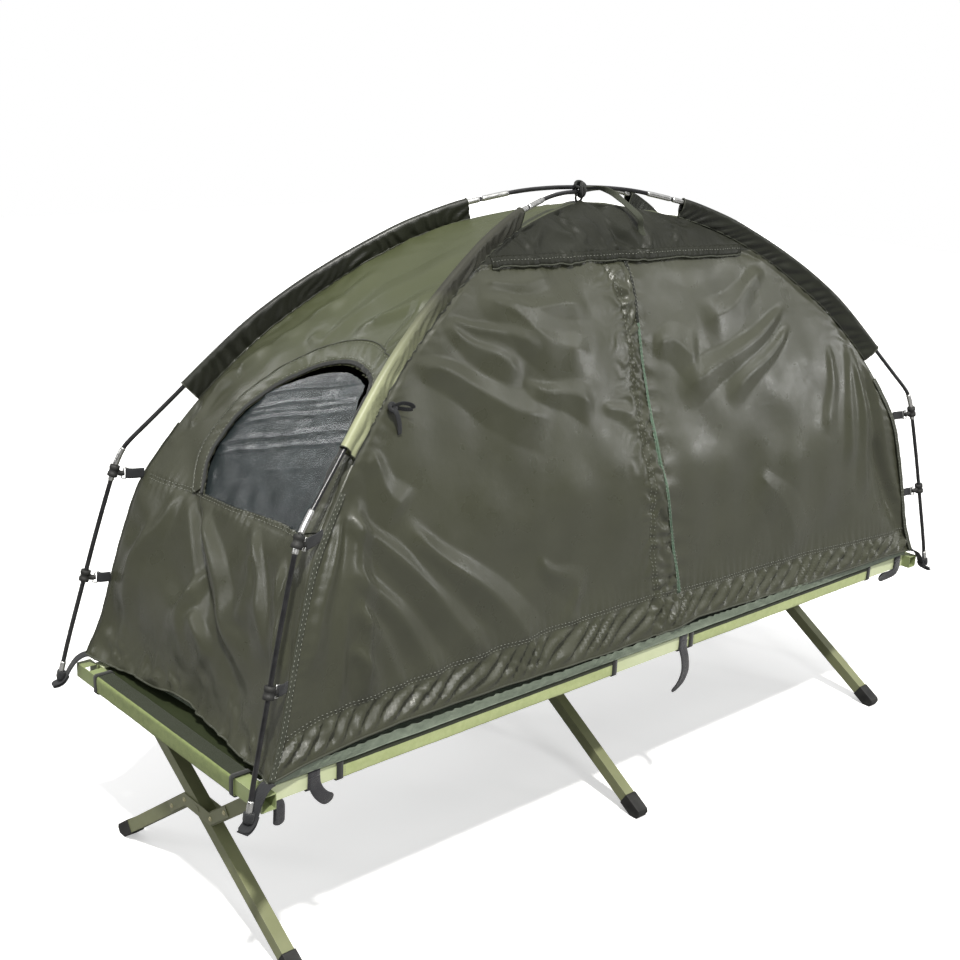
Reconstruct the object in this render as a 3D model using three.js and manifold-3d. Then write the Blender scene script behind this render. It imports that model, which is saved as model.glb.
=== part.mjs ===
// A folding camp cot with a one-person dome tent strapped on top.
// Millimetres. +X runs from the head end to the foot end, -Y is the side with the door, +Z is up, floor at z = 0.
import * as THREE from "three";
import { mergeVertices } from "three/addons/utils/BufferGeometryUtils.js";
import Module from "manifold-3d";

// Cot frame
const COT_LENGTH = 1900; // over the two end bars
const RAIL = 28; // side of the square rail and end-bar tube
const LEG = 25; // side of the square leg tube
const WALL = 1.5; // tube wall
const RAIL_Y = 277; // rail centre line from the middle of the cot
const RAIL_Z = 372; // rail centre line above the floor
const BAR_HALF = 311.5; // half the length of an end bar
const PIN_R = 5; // stud on a rail end that holds the end bar
const PIN_LENGTH = 25;
const LEG_X = { head: -865.5, mid: 0, foot: 865.5 };
const PIVOT = { y: 249.5, z: 350 }; // leg hinge on the inner side of a rail
const FOOT = { y: 290, z: 11 }; // where a leg's centre line ends in its cap
const NEST = 25.8; // leg B's halves stand this far either side of the crossing
const HINGE_R = 4; // leg hinge pin
const BORE_R = 4.2;
const EAR = { inner: 13.2, outer: 15.2, r: 10 }; // cheeks of a rail's leg hanger
const PLATE = { inner: 12.9, outer: 14.9, half: 10 }; // Z plates of a crossing
const RIVET_R = 2.2;
const RIVETS = [36, 93]; // rivets along leg B from the crossing
const CAP = { half: 14.5, past: 14, cover: 36 }; // rubber foot cap

// Bed canvas
const CLOTH = 1.5;
const GAP = 0.4; // air between cloth and what it wraps
const SLEEVE_X = { head: [-790, -110], foot: [112, 776] };
const END_SLEEVE_HALF = 235;
const BED = { x: 919.4, y: 260.3, z: 386, sag: 10 };

// Tent
const TIP = { x: 980, y: 319, z: 365 }; // foot of a tent pole
const POLE_R = 4.2;
const POLE_DROP = 9; // the lower pole passes this far under the upper one
const CLIP_Z = [770, 560];
const FLOOR_Z = 389.2;
const NEAR_HEM_Z = 412;
const END_HEM_Z = 402;
const SLEEVE_SHARE = [0.235, 0.765]; // pole sleeve, as shares of the way out
const STRAP = { width: 24.5, thick: 2 };
const STRAP_X = { head: -837.5, mid: 92, foot: 894 };

// Pole: height against the share of the way from the peak out to the pole's foot.
const POLE_LINE = [
  [0, 1270], [0.06, 1268.5], [0.12, 1263], [0.18, 1252], [0.25, 1236], [0.31, 1216], [0.363, 1195],
  [0.41, 1172], [0.452, 1150], [0.5, 1123], [0.552, 1091], [0.6, 1058], [0.636, 1031], [0.67, 1002],
  [0.704, 970], [0.742, 933], [0.78, 895], [0.83, 846], [0.862, 815], [0.876, 798], [0.885, 780],
  [0.895, 752], [0.927, 643], [0.955, 540], [0.983, 436], [1, TIP.z],
];
// Corner seam of the tent cloth, in the same terms.
const SEAM_LINE = [
  [0.012, 1240], [0.06, 1236], [0.15, 1224], [0.25, 1203], [0.35, 1168], [0.45, 1118], [0.53, 1066],
  [0.61, 1009], [0.68, 946], [0.735, 889], [0.79, 820], [0.846, 735], [0.878, 645], [0.902, 558],
  [0.925, 470], [0.953, END_HEM_Z],
];
// Window in the head end, y and z of its edge.
const WINDOW = [
  [85, 776], [112, 830], [92, 900], [35, 960], [-40, 988], [-100, 990], [-145, 974], [-172, 920],
  [-188, 860], [-212, 776],
];

const kernel = await Module();
kernel.setup();
const V = (x, y, z) => new THREE.Vector3(x, y, z);
const cot = new THREE.Group();
cot.name = "tent_cot";

const PAINT = {
  rail: [0xb9c68f, 0.45, 0.1], leg: [0x7f8a55, 0.45, 0.1], bracket: [0x6f7a4a, 0.4, 0.5],
  rubber: [0x1c1d1c, 0.8, 0], canvas: [0x51602f, 0.9, 0], sleeve: [0x9aac5a, 0.85, 0],
  tent: [0x54554a, 0.5, 0], film: [0x6d787c, 0.25, 0], floor: [0x6c7862, 0.6, 0],
  pole: [0x161718, 0.35, 0.1], webbing: [0x17181a, 0.85, 0],
};

function add(name, paint, geometry) {
  const [color, roughness, metalness] = PAINT[paint];
  const mesh = new THREE.Mesh(geometry, new THREE.MeshStandardMaterial({ color, roughness, metalness }));
  mesh.name = name;
  cot.add(mesh);
}

// Booleans
function solid(geometry) {
  const flat = new THREE.BufferGeometry();
  flat.setAttribute("position", (geometry.index ? geometry.toNonIndexed() : geometry).getAttribute("position"));
  const merged = mergeVertices(flat, 1e-4);
  const mesh = new kernel.Mesh({
    numProp: 3,
    vertProperties: new Float32Array(merged.getAttribute("position").array),
    triVerts: new Uint32Array(merged.index.array),
  });
  return new kernel.Manifold(mesh);
}
function geometryOf(body) {
  const mesh = body.getMesh();
  const geometry = new THREE.BufferGeometry();
  geometry.setAttribute("position", new THREE.BufferAttribute(new Float32Array(mesh.vertProperties), 3));
  geometry.setIndex(new THREE.BufferAttribute(new Uint32Array(mesh.triVerts), 1));
  const flat = geometry.toNonIndexed();
  flat.computeVertexNormals();
  return flat;
}
const join = (...parts) => geometryOf(parts.map(solid).reduce((a, b) => a.add(b)));
const cut = (part, ...tools) => geometryOf(tools.map(solid).reduce((a, b) => a.subtract(b), solid(part)));
const common = (a, b) => geometryOf(solid(a).intersect(solid(b)));

// A flat outline carried along X (points are y, z), along Y (points are z, x) or along Z (points are x, y).
function prism(axis, outline, from, to) {
  const shape = new THREE.Shape(outline.map(([a, b]) => new THREE.Vector2(a, b)));
  const geometry = new THREE.ExtrudeGeometry(shape, { depth: to - from, bevelEnabled: false });
  geometry.translate(0, 0, from);
  const turn = {
    x: new THREE.Matrix4().set(0, 0, 1, 0, 1, 0, 0, 0, 0, 1, 0, 0, 0, 0, 0, 1),
    y: new THREE.Matrix4().set(0, 1, 0, 0, 0, 0, 1, 0, 1, 0, 0, 0, 0, 0, 0, 1),
    z: new THREE.Matrix4(),
  };
  return geometry.applyMatrix4(turn[axis]);
}
const box = (x0, x1, y0, y1, z0, z1) => prism("z", [[x0, y0], [x1, y0], [x1, y1], [x0, y1]], z0, z1);
const disc = (a, b, r, n = 24) =>
  Array.from({ length: n }, (_, i) => {
    const t = (2 * Math.PI * i) / n;
    return [a + r * Math.cos(t), b + r * Math.sin(t)];
  });
const rod = (axis, a, b, r, from, to, n = 24) => prism(axis, disc(a, b, r, n), from, to);

// Surfaces from rows of points
function surface(quads) {
  const points = [];
  for (const [a, b, c, d] of quads)
    for (const p of [a, b, c, a, c, d]) points.push(p.x, p.y, p.z);
  const geometry = new THREE.BufferGeometry();
  geometry.setAttribute("position", new THREE.Float32BufferAttribute(points, 3));
  return geometry;
}
// A cloth of two matching grids of points, outer and inner, closed along its edges.
function cloth(outer, inner) {
  const quads = [];
  const rows = outer.length;
  const cols = outer[0].length;
  for (let i = 0; i + 1 < rows; i++)
    for (let j = 0; j + 1 < cols; j++) {
      quads.push([outer[i][j], outer[i][j + 1], outer[i + 1][j + 1], outer[i + 1][j]]);
      quads.push([inner[i][j], inner[i + 1][j], inner[i + 1][j + 1], inner[i][j + 1]]);
    }
  for (let j = 0; j + 1 < cols; j++) {
    quads.push([outer[0][j + 1], outer[0][j], inner[0][j], inner[0][j + 1]]);
    quads.push([outer[rows - 1][j], outer[rows - 1][j + 1], inner[rows - 1][j + 1], inner[rows - 1][j]]);
  }
  for (let i = 0; i + 1 < rows; i++) {
    quads.push([outer[i][0], outer[i + 1][0], inner[i + 1][0], inner[i][0]]);
    quads.push([outer[i + 1][cols - 1], outer[i][cols - 1], inner[i][cols - 1], inner[i + 1][cols - 1]]);
  }
  return outward(surface(quads));
}
// Loops of points joined one to the next, with flat ends. With inner loops the piece is a sleeve.
function loft(loops, inner = null) {
  const quads = [];
  const n = loops[0].length;
  const last = loops.length - 1;
  const skin = (rings, flip) => {
    for (let i = 0; i < last; i++)
      for (let k = 0; k < n; k++) {
        const m = (k + 1) % n;
        const quad = [rings[i][k], rings[i][m], rings[i + 1][m], rings[i + 1][k]];
        quads.push(flip ? quad.reverse() : quad);
      }
  };
  skin(loops, false);
  if (inner) skin(inner, true);
  for (const [at, flip] of [[0, true], [last, false]]) {
    const middle = loops[at].reduce((s, p) => s.add(p), V(0, 0, 0)).divideScalar(n);
    for (let k = 0; k < n; k++) {
      const m = (k + 1) % n;
      const a = loops[at][k];
      const b = loops[at][m];
      const quad = inner ? [a, b, inner[at][m], inner[at][k]] : [a, b, middle, middle];
      quads.push(flip ? quad.reverse() : quad);
    }
  }
  return outward(surface(quads));
}
// Drops flat triangles, and turns the faces round if they point inwards.
function outward(geometry) {
  const p = geometry.getAttribute("position").array;
  const kept = [];
  let volume = 0;
  for (let i = 0; i < p.length; i += 9) {
    const [a, b, c] = [0, 3, 6].map((k) => V(p[i + k], p[i + k + 1], p[i + k + 2]));
    if (b.clone().sub(a).cross(c.clone().sub(a)).length() < 1e-9) continue;
    volume += a.dot(b.clone().cross(c));
    kept.push([a, b, c]);
  }
  const points = kept.flatMap(([a, b, c]) => (volume > 0 ? [a, b, c] : [a, c, b]).flatMap((q) => [q.x, q.y, q.z]));
  const out = new THREE.BufferGeometry();
  out.setAttribute("position", new THREE.Float32BufferAttribute(points, 3));
  out.computeVertexNormals();
  return out;
}
// A section carried along a path. section(i) gives [side, up] pairs; side is level, up stands off the path.
function sweep(path, section, innerSection = null, side = null) {
  const frames = path.map((p, i) => {
    const along = path[Math.min(i + 1, path.length - 1)].clone().sub(path[Math.max(i - 1, 0)]).normalize();
    const across = (side ?? V(0, 0, 1).cross(along)).clone().normalize();
    return { p, across, up: along.clone().cross(across).normalize() };
  });
  const loops = (make) =>
    frames.map(({ p, across, up }, i) =>
      make(i).map(([a, b]) => p.clone().addScaledVector(across, a).addScaledVector(up, b)));
  return loft(loops(section), innerSection && loops(innerSection));
}
const strip = (path, width, thick, side) =>
  sweep(path, () => {
    const [w, t] = [width / 2, thick / 2];
    return [[-w, -t], [w, -t], [w, t], [-w, t]];
  }, null, side);

// Value of a line given as [share, height] pairs, read either way.
function read(line, value, from = 0, to = 1) {
  const i = line.findIndex((p, k) => k > 0 && (p[from] - value) * (line[k - 1][from] - value) <= 0);
  if (i < 0) return (Math.abs(line[0][from] - value) < Math.abs(line.at(-1)[from] - value) ? line[0] : line.at(-1))[to];
  const [a, b] = [line[i - 1], line[i]];
  return a[to] + ((value - a[from]) / (b[from] - a[from])) * (b[to] - a[to]);
}

// --- Rails, with a leg hanger at each leg and a stud at each end
function rail(sign) {
  const y = sign * RAIL_Y;
  const end = COT_LENGTH / 2 - RAIL - 0.5;
  const half = RAIL / 2;
  const core = half - WALL;
  let body = cut(
    box(-end, end, y - half, y + half, RAIL_Z - half, RAIL_Z + half),
    box(-end - 1, end + 1, y - core, y + core, RAIL_Z - core, RAIL_Z + core),
  );
  const inside = y - sign * (half - 0.7);
  for (const x of Object.values(LEG_X)) {
    const pivot = sign * PIVOT.y;
    for (const s of [-1, 1]) {
      const [a, b] = [x + s * EAR.inner, x + s * EAR.outer].sort((p, q) => p - q);
      const block = box(a, b, Math.min(inside, pivot), Math.max(inside, pivot), PIVOT.z - EAR.r, PIVOT.z + EAR.r);
      body = join(body, block, rod("x", pivot, PIVOT.z, EAR.r, a, b));
      const head = [x + s * (EAR.outer - 0.2), x + s * (EAR.outer + 1.8)].sort((p, q) => p - q);
      body = join(body, rod("x", pivot, PIVOT.z, HINGE_R + 2.5, ...head, 16));
    }
    body = join(body, rod("x", pivot, PIVOT.z, HINGE_R, x - EAR.outer - 1, x + EAR.outer + 1));
  }
  for (const s of [-1, 1]) {
    const web = [s * (end - 12), s * (end - 2)].sort((p, q) => p - q);
    const stud = [s * (end - 6), s * (end + PIN_LENGTH)].sort((p, q) => p - q);
    body = join(body, box(...web, y - 7, y + 7, RAIL_Z - core - 0.5, RAIL_Z + core + 0.5));
    body = join(body, rod("x", y, RAIL_Z, PIN_R, ...stud));
  }
  return body;
}
add("rail_near", "rail", rail(-1));
add("rail_far", "rail", rail(1));

// --- Legs. Each line lies across the cot: a foot, a direction up to the hinge, and a normal on its upper side.
const lean = Math.atan2(PIVOT.z - FOOT.z, PIVOT.y + FOOT.y);
const reach = Math.hypot(PIVOT.z - FOOT.z, PIVOT.y + FOOT.y);
const leanB = lean + Math.asin((2 * NEST) / reach);
// Point on leg A, which runs from the near foot to the far rail: s up from the foot, u off the centre line.
const onA = (s, u) => [
  -FOOT.y + s * Math.cos(lean) - u * Math.sin(lean),
  FOOT.z + s * Math.sin(lean) + u * Math.cos(lean),
];
// The crossing: on leg A, midway between the lines of leg B's two halves.
const middleB = [0, PIVOT.z / 2 + FOOT.z / 2];
middleB[0] = (FOOT.y - PIVOT.y) / 2;
const crossT =
  ((middleB[0] + FOOT.y) * Math.sin(leanB) + (middleB[1] - FOOT.z) * Math.cos(leanB)) / Math.sin(lean + leanB);
const CROSS = onA(crossT, 0);
// Point on leg B's own axes: s from the crossing up to the near rail, u off towards the far side.
const onB = (s, u) => [
  CROSS[0] - s * Math.cos(leanB) + u * Math.sin(leanB),
  CROSS[1] + s * Math.sin(leanB) + u * Math.cos(leanB),
];
const alongB = (y, z) => -(y - CROSS[0]) * Math.cos(leanB) + (z - CROSS[1]) * Math.sin(leanB);

// Square tube between two stations of a line, rounded about the upper station when it carries a hinge.
function legTube(on, x, from, to, u, round) {
  const half = LEG / 2;
  const outline = [on(from, u - half), on(to, u - half)];
  if (round)
    for (let i = 1; i < 10; i++) {
      const t = -Math.PI / 2 + (Math.PI * i) / 10;
      outline.push(on(to + half * Math.cos(t), u + half * Math.sin(t)));
    }
  outline.push(on(to, u + half), on(from, u + half));
  const core = half - WALL;
  const bore = [on(from - 30, u - core), on(to + 30, u - core), on(to + 30, u + core), on(from - 30, u + core)];
  return cut(prism("x", outline, x - half, x + half), prism("x", bore, x - core, x + core));
}
function footCap(on, x, foot) {
  const outline = [
    on(foot - CAP.past, -CAP.half + 4), on(foot - CAP.past + 4, -CAP.half), on(foot + CAP.cover, -CAP.half),
    on(foot + CAP.cover, CAP.half), on(foot - CAP.past + 6, CAP.half), on(foot - CAP.past, CAP.half - 6),
  ];
  const seat = LEG / 2 + 0.3;
  const socket = [
    on(foot + 2.5, -seat), on(foot + CAP.cover + 5, -seat), on(foot + CAP.cover + 5, seat), on(foot + 2.5, seat),
  ];
  return cut(
    prism("x", outline, x - CAP.half, x + CAP.half),
    prism("x", socket, x - seat, x + seat),
    box(x - 50, x + 50, -400, 400, -60, 0),
  );
}
const lowerFootB = alongB(FOOT.y, FOOT.z);
const onLowerB = (s, u) => onB(lowerFootB + s, NEST + u);
const upperTopB = alongB(-PIVOT.y, PIVOT.z);
for (const [place, x] of Object.entries(LEG_X)) {
  const bore = ([y, z], r) => rod("x", y, z, r, x - 40, x + 40);
  add(`leg_a_${place}`, "leg", cut(
    legTube(onA, x, 3, reach, 0, true),
    bore([PIVOT.y, PIVOT.z], BORE_R),
    bore(CROSS, BORE_R),
  ));
  add(`leg_b_upper_${place}`, "leg", cut(
    legTube(onB, x, 29, upperTopB, -NEST, true),
    bore([-PIVOT.y, PIVOT.z], BORE_R),
    ...RIVETS.map((s) => bore(onB(s, -NEST), RIVET_R + 0.3)),
  ));
  add(`leg_b_lower_${place}`, "leg", cut(
    legTube((s, u) => onB(-s, u), x, 29, -lowerFootB - 3, NEST, false),
    ...RIVETS.map((s) => bore(onB(-s, NEST), RIVET_R + 0.3)),
  ));
  const h = PLATE.half;
  const out = RIVETS[1] + 10;
  const outline = [
    [-out, NEST - h], [-out, NEST + h], [-27, NEST + h], [41, -NEST + h], [out, -NEST + h],
    [out, -NEST - h], [27, -NEST - h], [-41, NEST - h],
  ].map(([s, u]) => onB(s, u));
  let plates = join(
    prism("x", outline, x - PLATE.outer, x - PLATE.inner),
    prism("x", outline, x + PLATE.inner, x + PLATE.outer),
    rod("x", ...CROSS, HINGE_R, x - PLATE.outer - 1, x + PLATE.outer + 1),
  );
  const rivets = [...RIVETS.map((s) => onB(s, -NEST)), ...RIVETS.map((s) => onB(-s, NEST)), CROSS];
  rivets.forEach(([y, z], i) => {
    const r = i === 4 ? 6.5 : 4;
    if (i < 4) plates = join(plates, rod("x", y, z, RIVET_R, x - PLATE.outer - 1, x + PLATE.outer + 1, 12));
    plates = join(
      plates,
      rod("x", y, z, r, x - PLATE.outer - 1.6, x - PLATE.outer + 0.3, 12),
      rod("x", y, z, r, x + PLATE.outer - 0.3, x + PLATE.outer + 1.6, 12),
    );
  });
  add(`leg_bracket_${place}`, "bracket", plates);
  add(`foot_cap_near_${place}`, "rubber", footCap(onA, x, 0));
  add(`foot_cap_far_${place}`, "rubber", footCap(onLowerB, x, 0));
}

// --- End bars: closed hole on the near stud, notch open at the top for the far stud
for (const [place, s] of [["head", -1], ["foot", 1]]) {
  const [x0, x1] = [s * (COT_LENGTH / 2 - RAIL), (s * COT_LENGTH) / 2].sort((p, q) => p - q);
  const half = RAIL / 2;
  const core = half - WALL;
  const drift = 0.36; // the notch leans the way the far rail moves as the bar drops
  const notch = [
    [RAIL_Y + 6.2, RAIL_Z], [RAIL_Y + 6.2 - drift * 20, RAIL_Z + 20],
    [RAIL_Y - 6.2 - drift * 20, RAIL_Z + 20], [RAIL_Y - 6.2, RAIL_Z],
  ];
  const inner = s > 0 ? [x0 - 5, x0 + half] : [x1 - half, x1 + 5]; // studs enter the inner wall only
  const slot = s > 0 ? [x0 + 1, x1 - WALL - 0.3] : [x0 + WALL + 0.3, x1 - 1]; // and leave through the top wall
  add(`end_bar_${place}`, "rail", cut(
    box(x0, x1, -BAR_HALF, BAR_HALF, RAIL_Z - half, RAIL_Z + half),
    box(x0 + WALL, x1 - WALL, -BAR_HALF - 1, BAR_HALF + 1, RAIL_Z - core, RAIL_Z + core),
    rod("x", -RAIL_Y, RAIL_Z, PIN_R + 0.3, ...inner),
    rod("x", RAIL_Y, RAIL_Z, PIN_R + 1.2, ...inner),
    prism("x", notch, ...inner),
    box(...slot, RAIL_Y - 6.2 - drift * 20, RAIL_Y + 6.2, RAIL_Z + core - 1, RAIL_Z + half + 5),
  ));
  const wrap = (grow) => box(x0 - grow, x1 + grow, -END_SLEEVE_HALF, END_SLEEVE_HALF,
    RAIL_Z - half - grow, RAIL_Z + half + grow);
  const hole = box(x0 - GAP, x1 + GAP, -400, 400, RAIL_Z - half - GAP, RAIL_Z + half + GAP);
  add(`end_sleeve_${place}`, "sleeve", cut(wrap(GAP + CLOTH), hole));
}

// --- Canvas sleeves on the rails, and the bed between them
for (const [side, sign] of [["near", -1], ["far", 1]])
  for (const [place, [a, b]] of Object.entries(SLEEVE_X)) {
    const half = RAIL / 2;
    const ring = (grow, from, to) => box(from, to, sign * RAIL_Y - half - grow, sign * RAIL_Y + half + grow,
      RAIL_Z - half - grow, RAIL_Z + half + grow);
    add(`rail_sleeve_${side}_${place}`, "sleeve", cut(ring(GAP + CLOTH, a, b), ring(GAP, a - 5, b + 5)));
  }
{
  const rows = [-1, -0.75, -0.5, -0.25, 0, 0.25, 0.5, 0.75, 1];
  const grid = (drop) => rows.map((r) => {
    const z = BED.z - BED.sag * (1 - r * r) - drop;
    return [V(-BED.x, r * BED.y, z), V(BED.x, r * BED.y, z)];
  });
  add("bed_canvas", "canvas", cloth(grid(0), grid(CLOTH)));
}

// --- Tent walls: cloth between the corner seams, offset inwards by its thickness
function inwards(line, width) {
  return line.map(([share, z], i) => {
    const a = line[Math.max(i - 1, 0)];
    const b = line[Math.min(i + 1, line.length - 1)];
    const [ds, dz] = [(b[0] - a[0]) * width, b[1] - a[1]];
    const length = Math.hypot(ds, dz);
    return [share + (CLOTH * dz) / length / width, z - (CLOTH * ds) / length];
  });
}
const endInner = inwards(SEAM_LINE, TIP.x);
function sideWall(sign) {
  const line = SEAM_LINE.slice(0, -1).concat([[read(SEAM_LINE, NEAR_HEM_Z, 1, 0), NEAR_HEM_Z]]);
  const row = ([share, z]) => {
    const x = TIP.x * read(endInner, z, 1, 0) - 2;
    return [-1, -0.5, 0, 0.5, 1].map((k) => V(k * x, sign * TIP.y * share, z));
  };
  return cloth(line.map(row), inwards(line, TIP.y).map(row));
}
function endWall(sign) {
  const outer = ([share, z]) => [-1, 0, 1].map((k) => V(sign * TIP.x * share, k * TIP.y * share, z));
  const inner = inwards(SEAM_LINE, TIP.x).map(([share, z], i) =>
    [-1, 0, 1].map((k) => V(sign * TIP.x * share, k * TIP.y * SEAM_LINE[i][0], z)));
  return cloth(SEAM_LINE.map(outer), inner);
}
const shrink = (outline, by) => {
  const [cy, cz] = [outline.reduce((s, p) => s + p[0], 0), outline.reduce((s, p) => s + p[1], 0)].map(
    (v) => v / outline.length);
  return outline.map(([y, z]) => {
    const d = Math.hypot(y - cy, z - cz);
    return [cy + (y - cy) * (1 - by / d), cz + (z - cz) * (1 - by / d)];
  });
};
add("tent_wall_near", "tent", sideWall(-1));
add("tent_wall_far", "tent", sideWall(1));
add("tent_end_foot", "tent", endWall(1));
add("tent_end_head", "tent", cut(endWall(-1), prism("x", WINDOW, -1000, -350)));
add("tent_window", "film", common(endWall(-1), prism("x", shrink(WINDOW, 0.8), -1000, -350)));

// --- Floor tray, with a low rim inside the hems
{
  const rimX = TIP.x * 0.953 - 10;
  const rimY = TIP.y * 0.953 - 8;
  const tray = box(-rimX, rimX, -rimY, rimY, FLOOR_Z, FLOOR_Z + 24);
  add("tent_floor", "floor", cut(tray, box(-rimX + CLOTH, rimX - CLOTH, -rimY + CLOTH, rimY - CLOTH,
    FLOOR_Z + CLOTH, FLOOR_Z + 30)));
}

// --- Poles. Each runs corner to corner over the peak, thicker at its ferrules.
const polePoint = (share, sx, sy, drop) => {
  const dip = drop * Math.max(0, 1 - share / 0.3) ** 2;
  return V(sx * TIP.x * share, sy * TIP.y * share, read(POLE_LINE, share) - dip);
};
const poleThick = (share) => {
  const z = read(POLE_LINE, share);
  const ferrule = z < 412 || (z > 752 && z < 830) || (share > 0.15 && share < 0.21);
  return ferrule ? POLE_R + 1 : POLE_R;
};
function pole(sy, drop) {
  const steps = [0.15, 0.151, 0.2, 0.209, 0.21];
  const shares = [...POLE_LINE.map((p) => p[0]), ...steps].sort((a, b) => a - b);
  const path = [];
  for (const u of [...shares].reverse()) path.push([u, polePoint(u, -1, -sy, drop)]);
  for (const u of shares.slice(1)) path.push([u, polePoint(u, 1, sy, drop)]);
  return (grow) => sweep(
    path.map((p) => p[1]),
    (i) => disc(0, 0, grow ? POLE_R + grow : poleThick(path[i][0]), 10),
    null,
    V(-sy * TIP.y, TIP.x, 0),
  );
}
const poleLower = pole(1, POLE_DROP);
const poleUpper = pole(-1, 0);
add("pole_lower", "pole", poleLower(0));
add("pole_upper", "pole", poleUpper(0));
add("pole_hub", "webbing", cut(rod("z", 0, 0, 16, 1244, 1281, 16), poleLower(0.5), poleUpper(0.5)));

const CORNERS = [];
for (const [side, sy] of [["near", -1], ["far", 1]])
  for (const [place, sx] of [["head", -1], ["foot", 1]]) CORNERS.push({ name: `${side}_${place}`, sx, sy });

for (const { name, sx, sy } of CORNERS) {
  const level = V(-sy * TIP.y, sx * TIP.x, 0).normalize();
  const drop = sx * sy > 0 ? POLE_DROP : 0;
  // Pole sleeve: a drop-shaped loop of cloth with the pole in its round end and its tail on the corner seam.
  const drops = (r, tail, thin) => [
    ...Array.from({ length: 9 }, (_, i) => {
      const t = (-30 + (240 * i) / 8) * (Math.PI / 180);
      return [r * Math.cos(t), r * Math.sin(t)];
    }),
    [-thin, -tail], [thin, -tail],
  ];
  const [s0, s1] = SLEEVE_SHARE;
  const path = Array.from({ length: 13 }, (_, i) => polePoint(s0 + ((s1 - s0) * i) / 12, sx, sy, drop));
  // The loop's up direction must stand away from the tent.
  const up = path[1].clone().sub(path[0]).cross(level).z < 0 ? -1 : 1;
  add(`pole_sleeve_${name}`, "tent", sweep(
    path,
    () => drops(8, 24, 1.8).map(([a, b]) => [a, up * b]),
    () => drops(6.6, 19, 0.8).map(([a, b]) => [a, up * b]),
    level,
  ));

  // Clips: a short strap from the corner seam to a hook closed round the pole.
  CLIP_Z.forEach((z, i) => {
    const share = read(POLE_LINE, z, 1, 0);
    const seam = read(SEAM_LINE, z, 1, 0);
    const at = (u, h) => V(sx * TIP.x * u, sy * TIP.y * u, h);
    const above = at(read(POLE_LINE, z + 8, 1, 0), z + 8);
    const below = at(read(POLE_LINE, z - 8, 1, 0), z - 8);
    const hook = sweep([below, above], () => disc(0, 0, 9, 12), () => disc(0, 0, POLE_R + 2.6, 12), level);
    const web = strip([at(seam + 0.011, z), at(share - 0.0085, z)], 3, 16, level);
    add(`pole_clip_${i ? "low" : "high"}_${name}`, "webbing", join(hook, web));
  });

  // Corner web: tongue out from the tent's corner, cup for the pole's foot, pull tab beyond it.
  const out = (u, z) => V(sx * TIP.x * u, sy * TIP.y * u, z);
  const tongue = strip([out(0.957, 398), out(0.974, 393), out(0.986, 380), out(0.996, 372)], 22, 2, level);
  const cup = sweep([out(1.0045, 346), out(0.9955, 384)], () => disc(0, 0, 9.5, 16), null, level);
  const socket = sweep([out(1.0007, 362), out(0.9907, 404)], () => disc(0, 0, POLE_R + 2.2, 16), null, level);
  const tab = strip([out(0.999, 353), out(1.008, 348), out(1.016, 343)], 22, 2, level);
  add(`corner_web_${name}`, "webbing", cut(join(cup, tongue, tab), socket));
}

// --- Hook-and-loop straps: a loop round the rail with a free tail below
for (const [side, sy] of [["near", -1], ["far", 1]])
  for (const [place, x] of Object.entries(STRAP_X)) {
    const half = RAIL / 2;
    const ring = (grow, w) => box(x - w, x + w, sy * RAIL_Y - half - grow, sy * RAIL_Y + half + grow,
      RAIL_Z - half - grow, RAIL_Z + half + grow);
    const w = STRAP.width / 2;
    const loop = cut(ring(GAP + STRAP.thick, w), ring(GAP, w + 5));
    const face = sy * (RAIL_Y + half + GAP + STRAP.thick / 2);
    const long = { head: 40, mid: 95, foot: 70 }[place];
    const tail = strip([
      V(x, face, RAIL_Z - half + 2),
      V(x - 2, face + sy * 3, RAIL_Z - half - long * 0.4),
      V(x - 8, face + sy * 2, RAIL_Z - half - long * 0.75),
      V(x - 18, face - sy * 4, RAIL_Z - half - long),
    ], STRAP.width - 1, STRAP.thick, V(1, 0, 0));
    add(`strap_${side}_${place}`, "webbing", join(loop, tail));
  }

export default cot;
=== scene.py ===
"""A folding camp cot with a one-person dome tent strapped on top. Metres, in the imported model's frame:
+X runs from the head end to the foot end, -Y is the side with the door, +Z is up."""
import math

import bpy
import numpy as np
from mathutils import Matrix, Vector
from mathutils.bvhtree import BVHTree


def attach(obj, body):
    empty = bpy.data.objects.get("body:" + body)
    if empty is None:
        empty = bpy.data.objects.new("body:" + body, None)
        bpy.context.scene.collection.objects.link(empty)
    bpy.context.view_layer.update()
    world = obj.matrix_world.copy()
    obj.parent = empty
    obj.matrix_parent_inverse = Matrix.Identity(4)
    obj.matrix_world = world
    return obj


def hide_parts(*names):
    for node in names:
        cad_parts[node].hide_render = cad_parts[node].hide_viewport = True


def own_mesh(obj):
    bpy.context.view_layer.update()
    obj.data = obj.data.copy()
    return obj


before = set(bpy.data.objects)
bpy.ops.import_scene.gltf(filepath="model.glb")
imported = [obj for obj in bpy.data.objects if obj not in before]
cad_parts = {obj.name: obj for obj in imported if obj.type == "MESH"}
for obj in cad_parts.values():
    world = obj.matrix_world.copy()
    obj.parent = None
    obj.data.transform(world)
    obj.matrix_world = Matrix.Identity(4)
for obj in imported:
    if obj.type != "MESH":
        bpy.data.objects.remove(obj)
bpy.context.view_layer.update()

# --- Numbers shared with the CAD source
TIP = np.array([0.980, 0.319, 0.365])  # foot of a tent pole
POLE_R = 0.0042
POLE_DROP = 0.009  # how far the lower pole dips to pass under the other
RAIL, RAIL_Y, RAIL_Z = 0.028, 0.277, 0.372  # width of a rail and the place of its middle
BAR_X = 0.95  # outer face of an end bar
BED_X, BED_Y = 0.9194, 0.2603  # half the bed cloth
LEG_X = {"head": -0.8655, "mid": 0.0, "foot": 0.8655}
SLEEVE_X = {"head": (-0.790, -0.110), "foot": (0.112, 0.776)}
BAR_SLEEVE_Y = (-0.235, 0.235)
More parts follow.
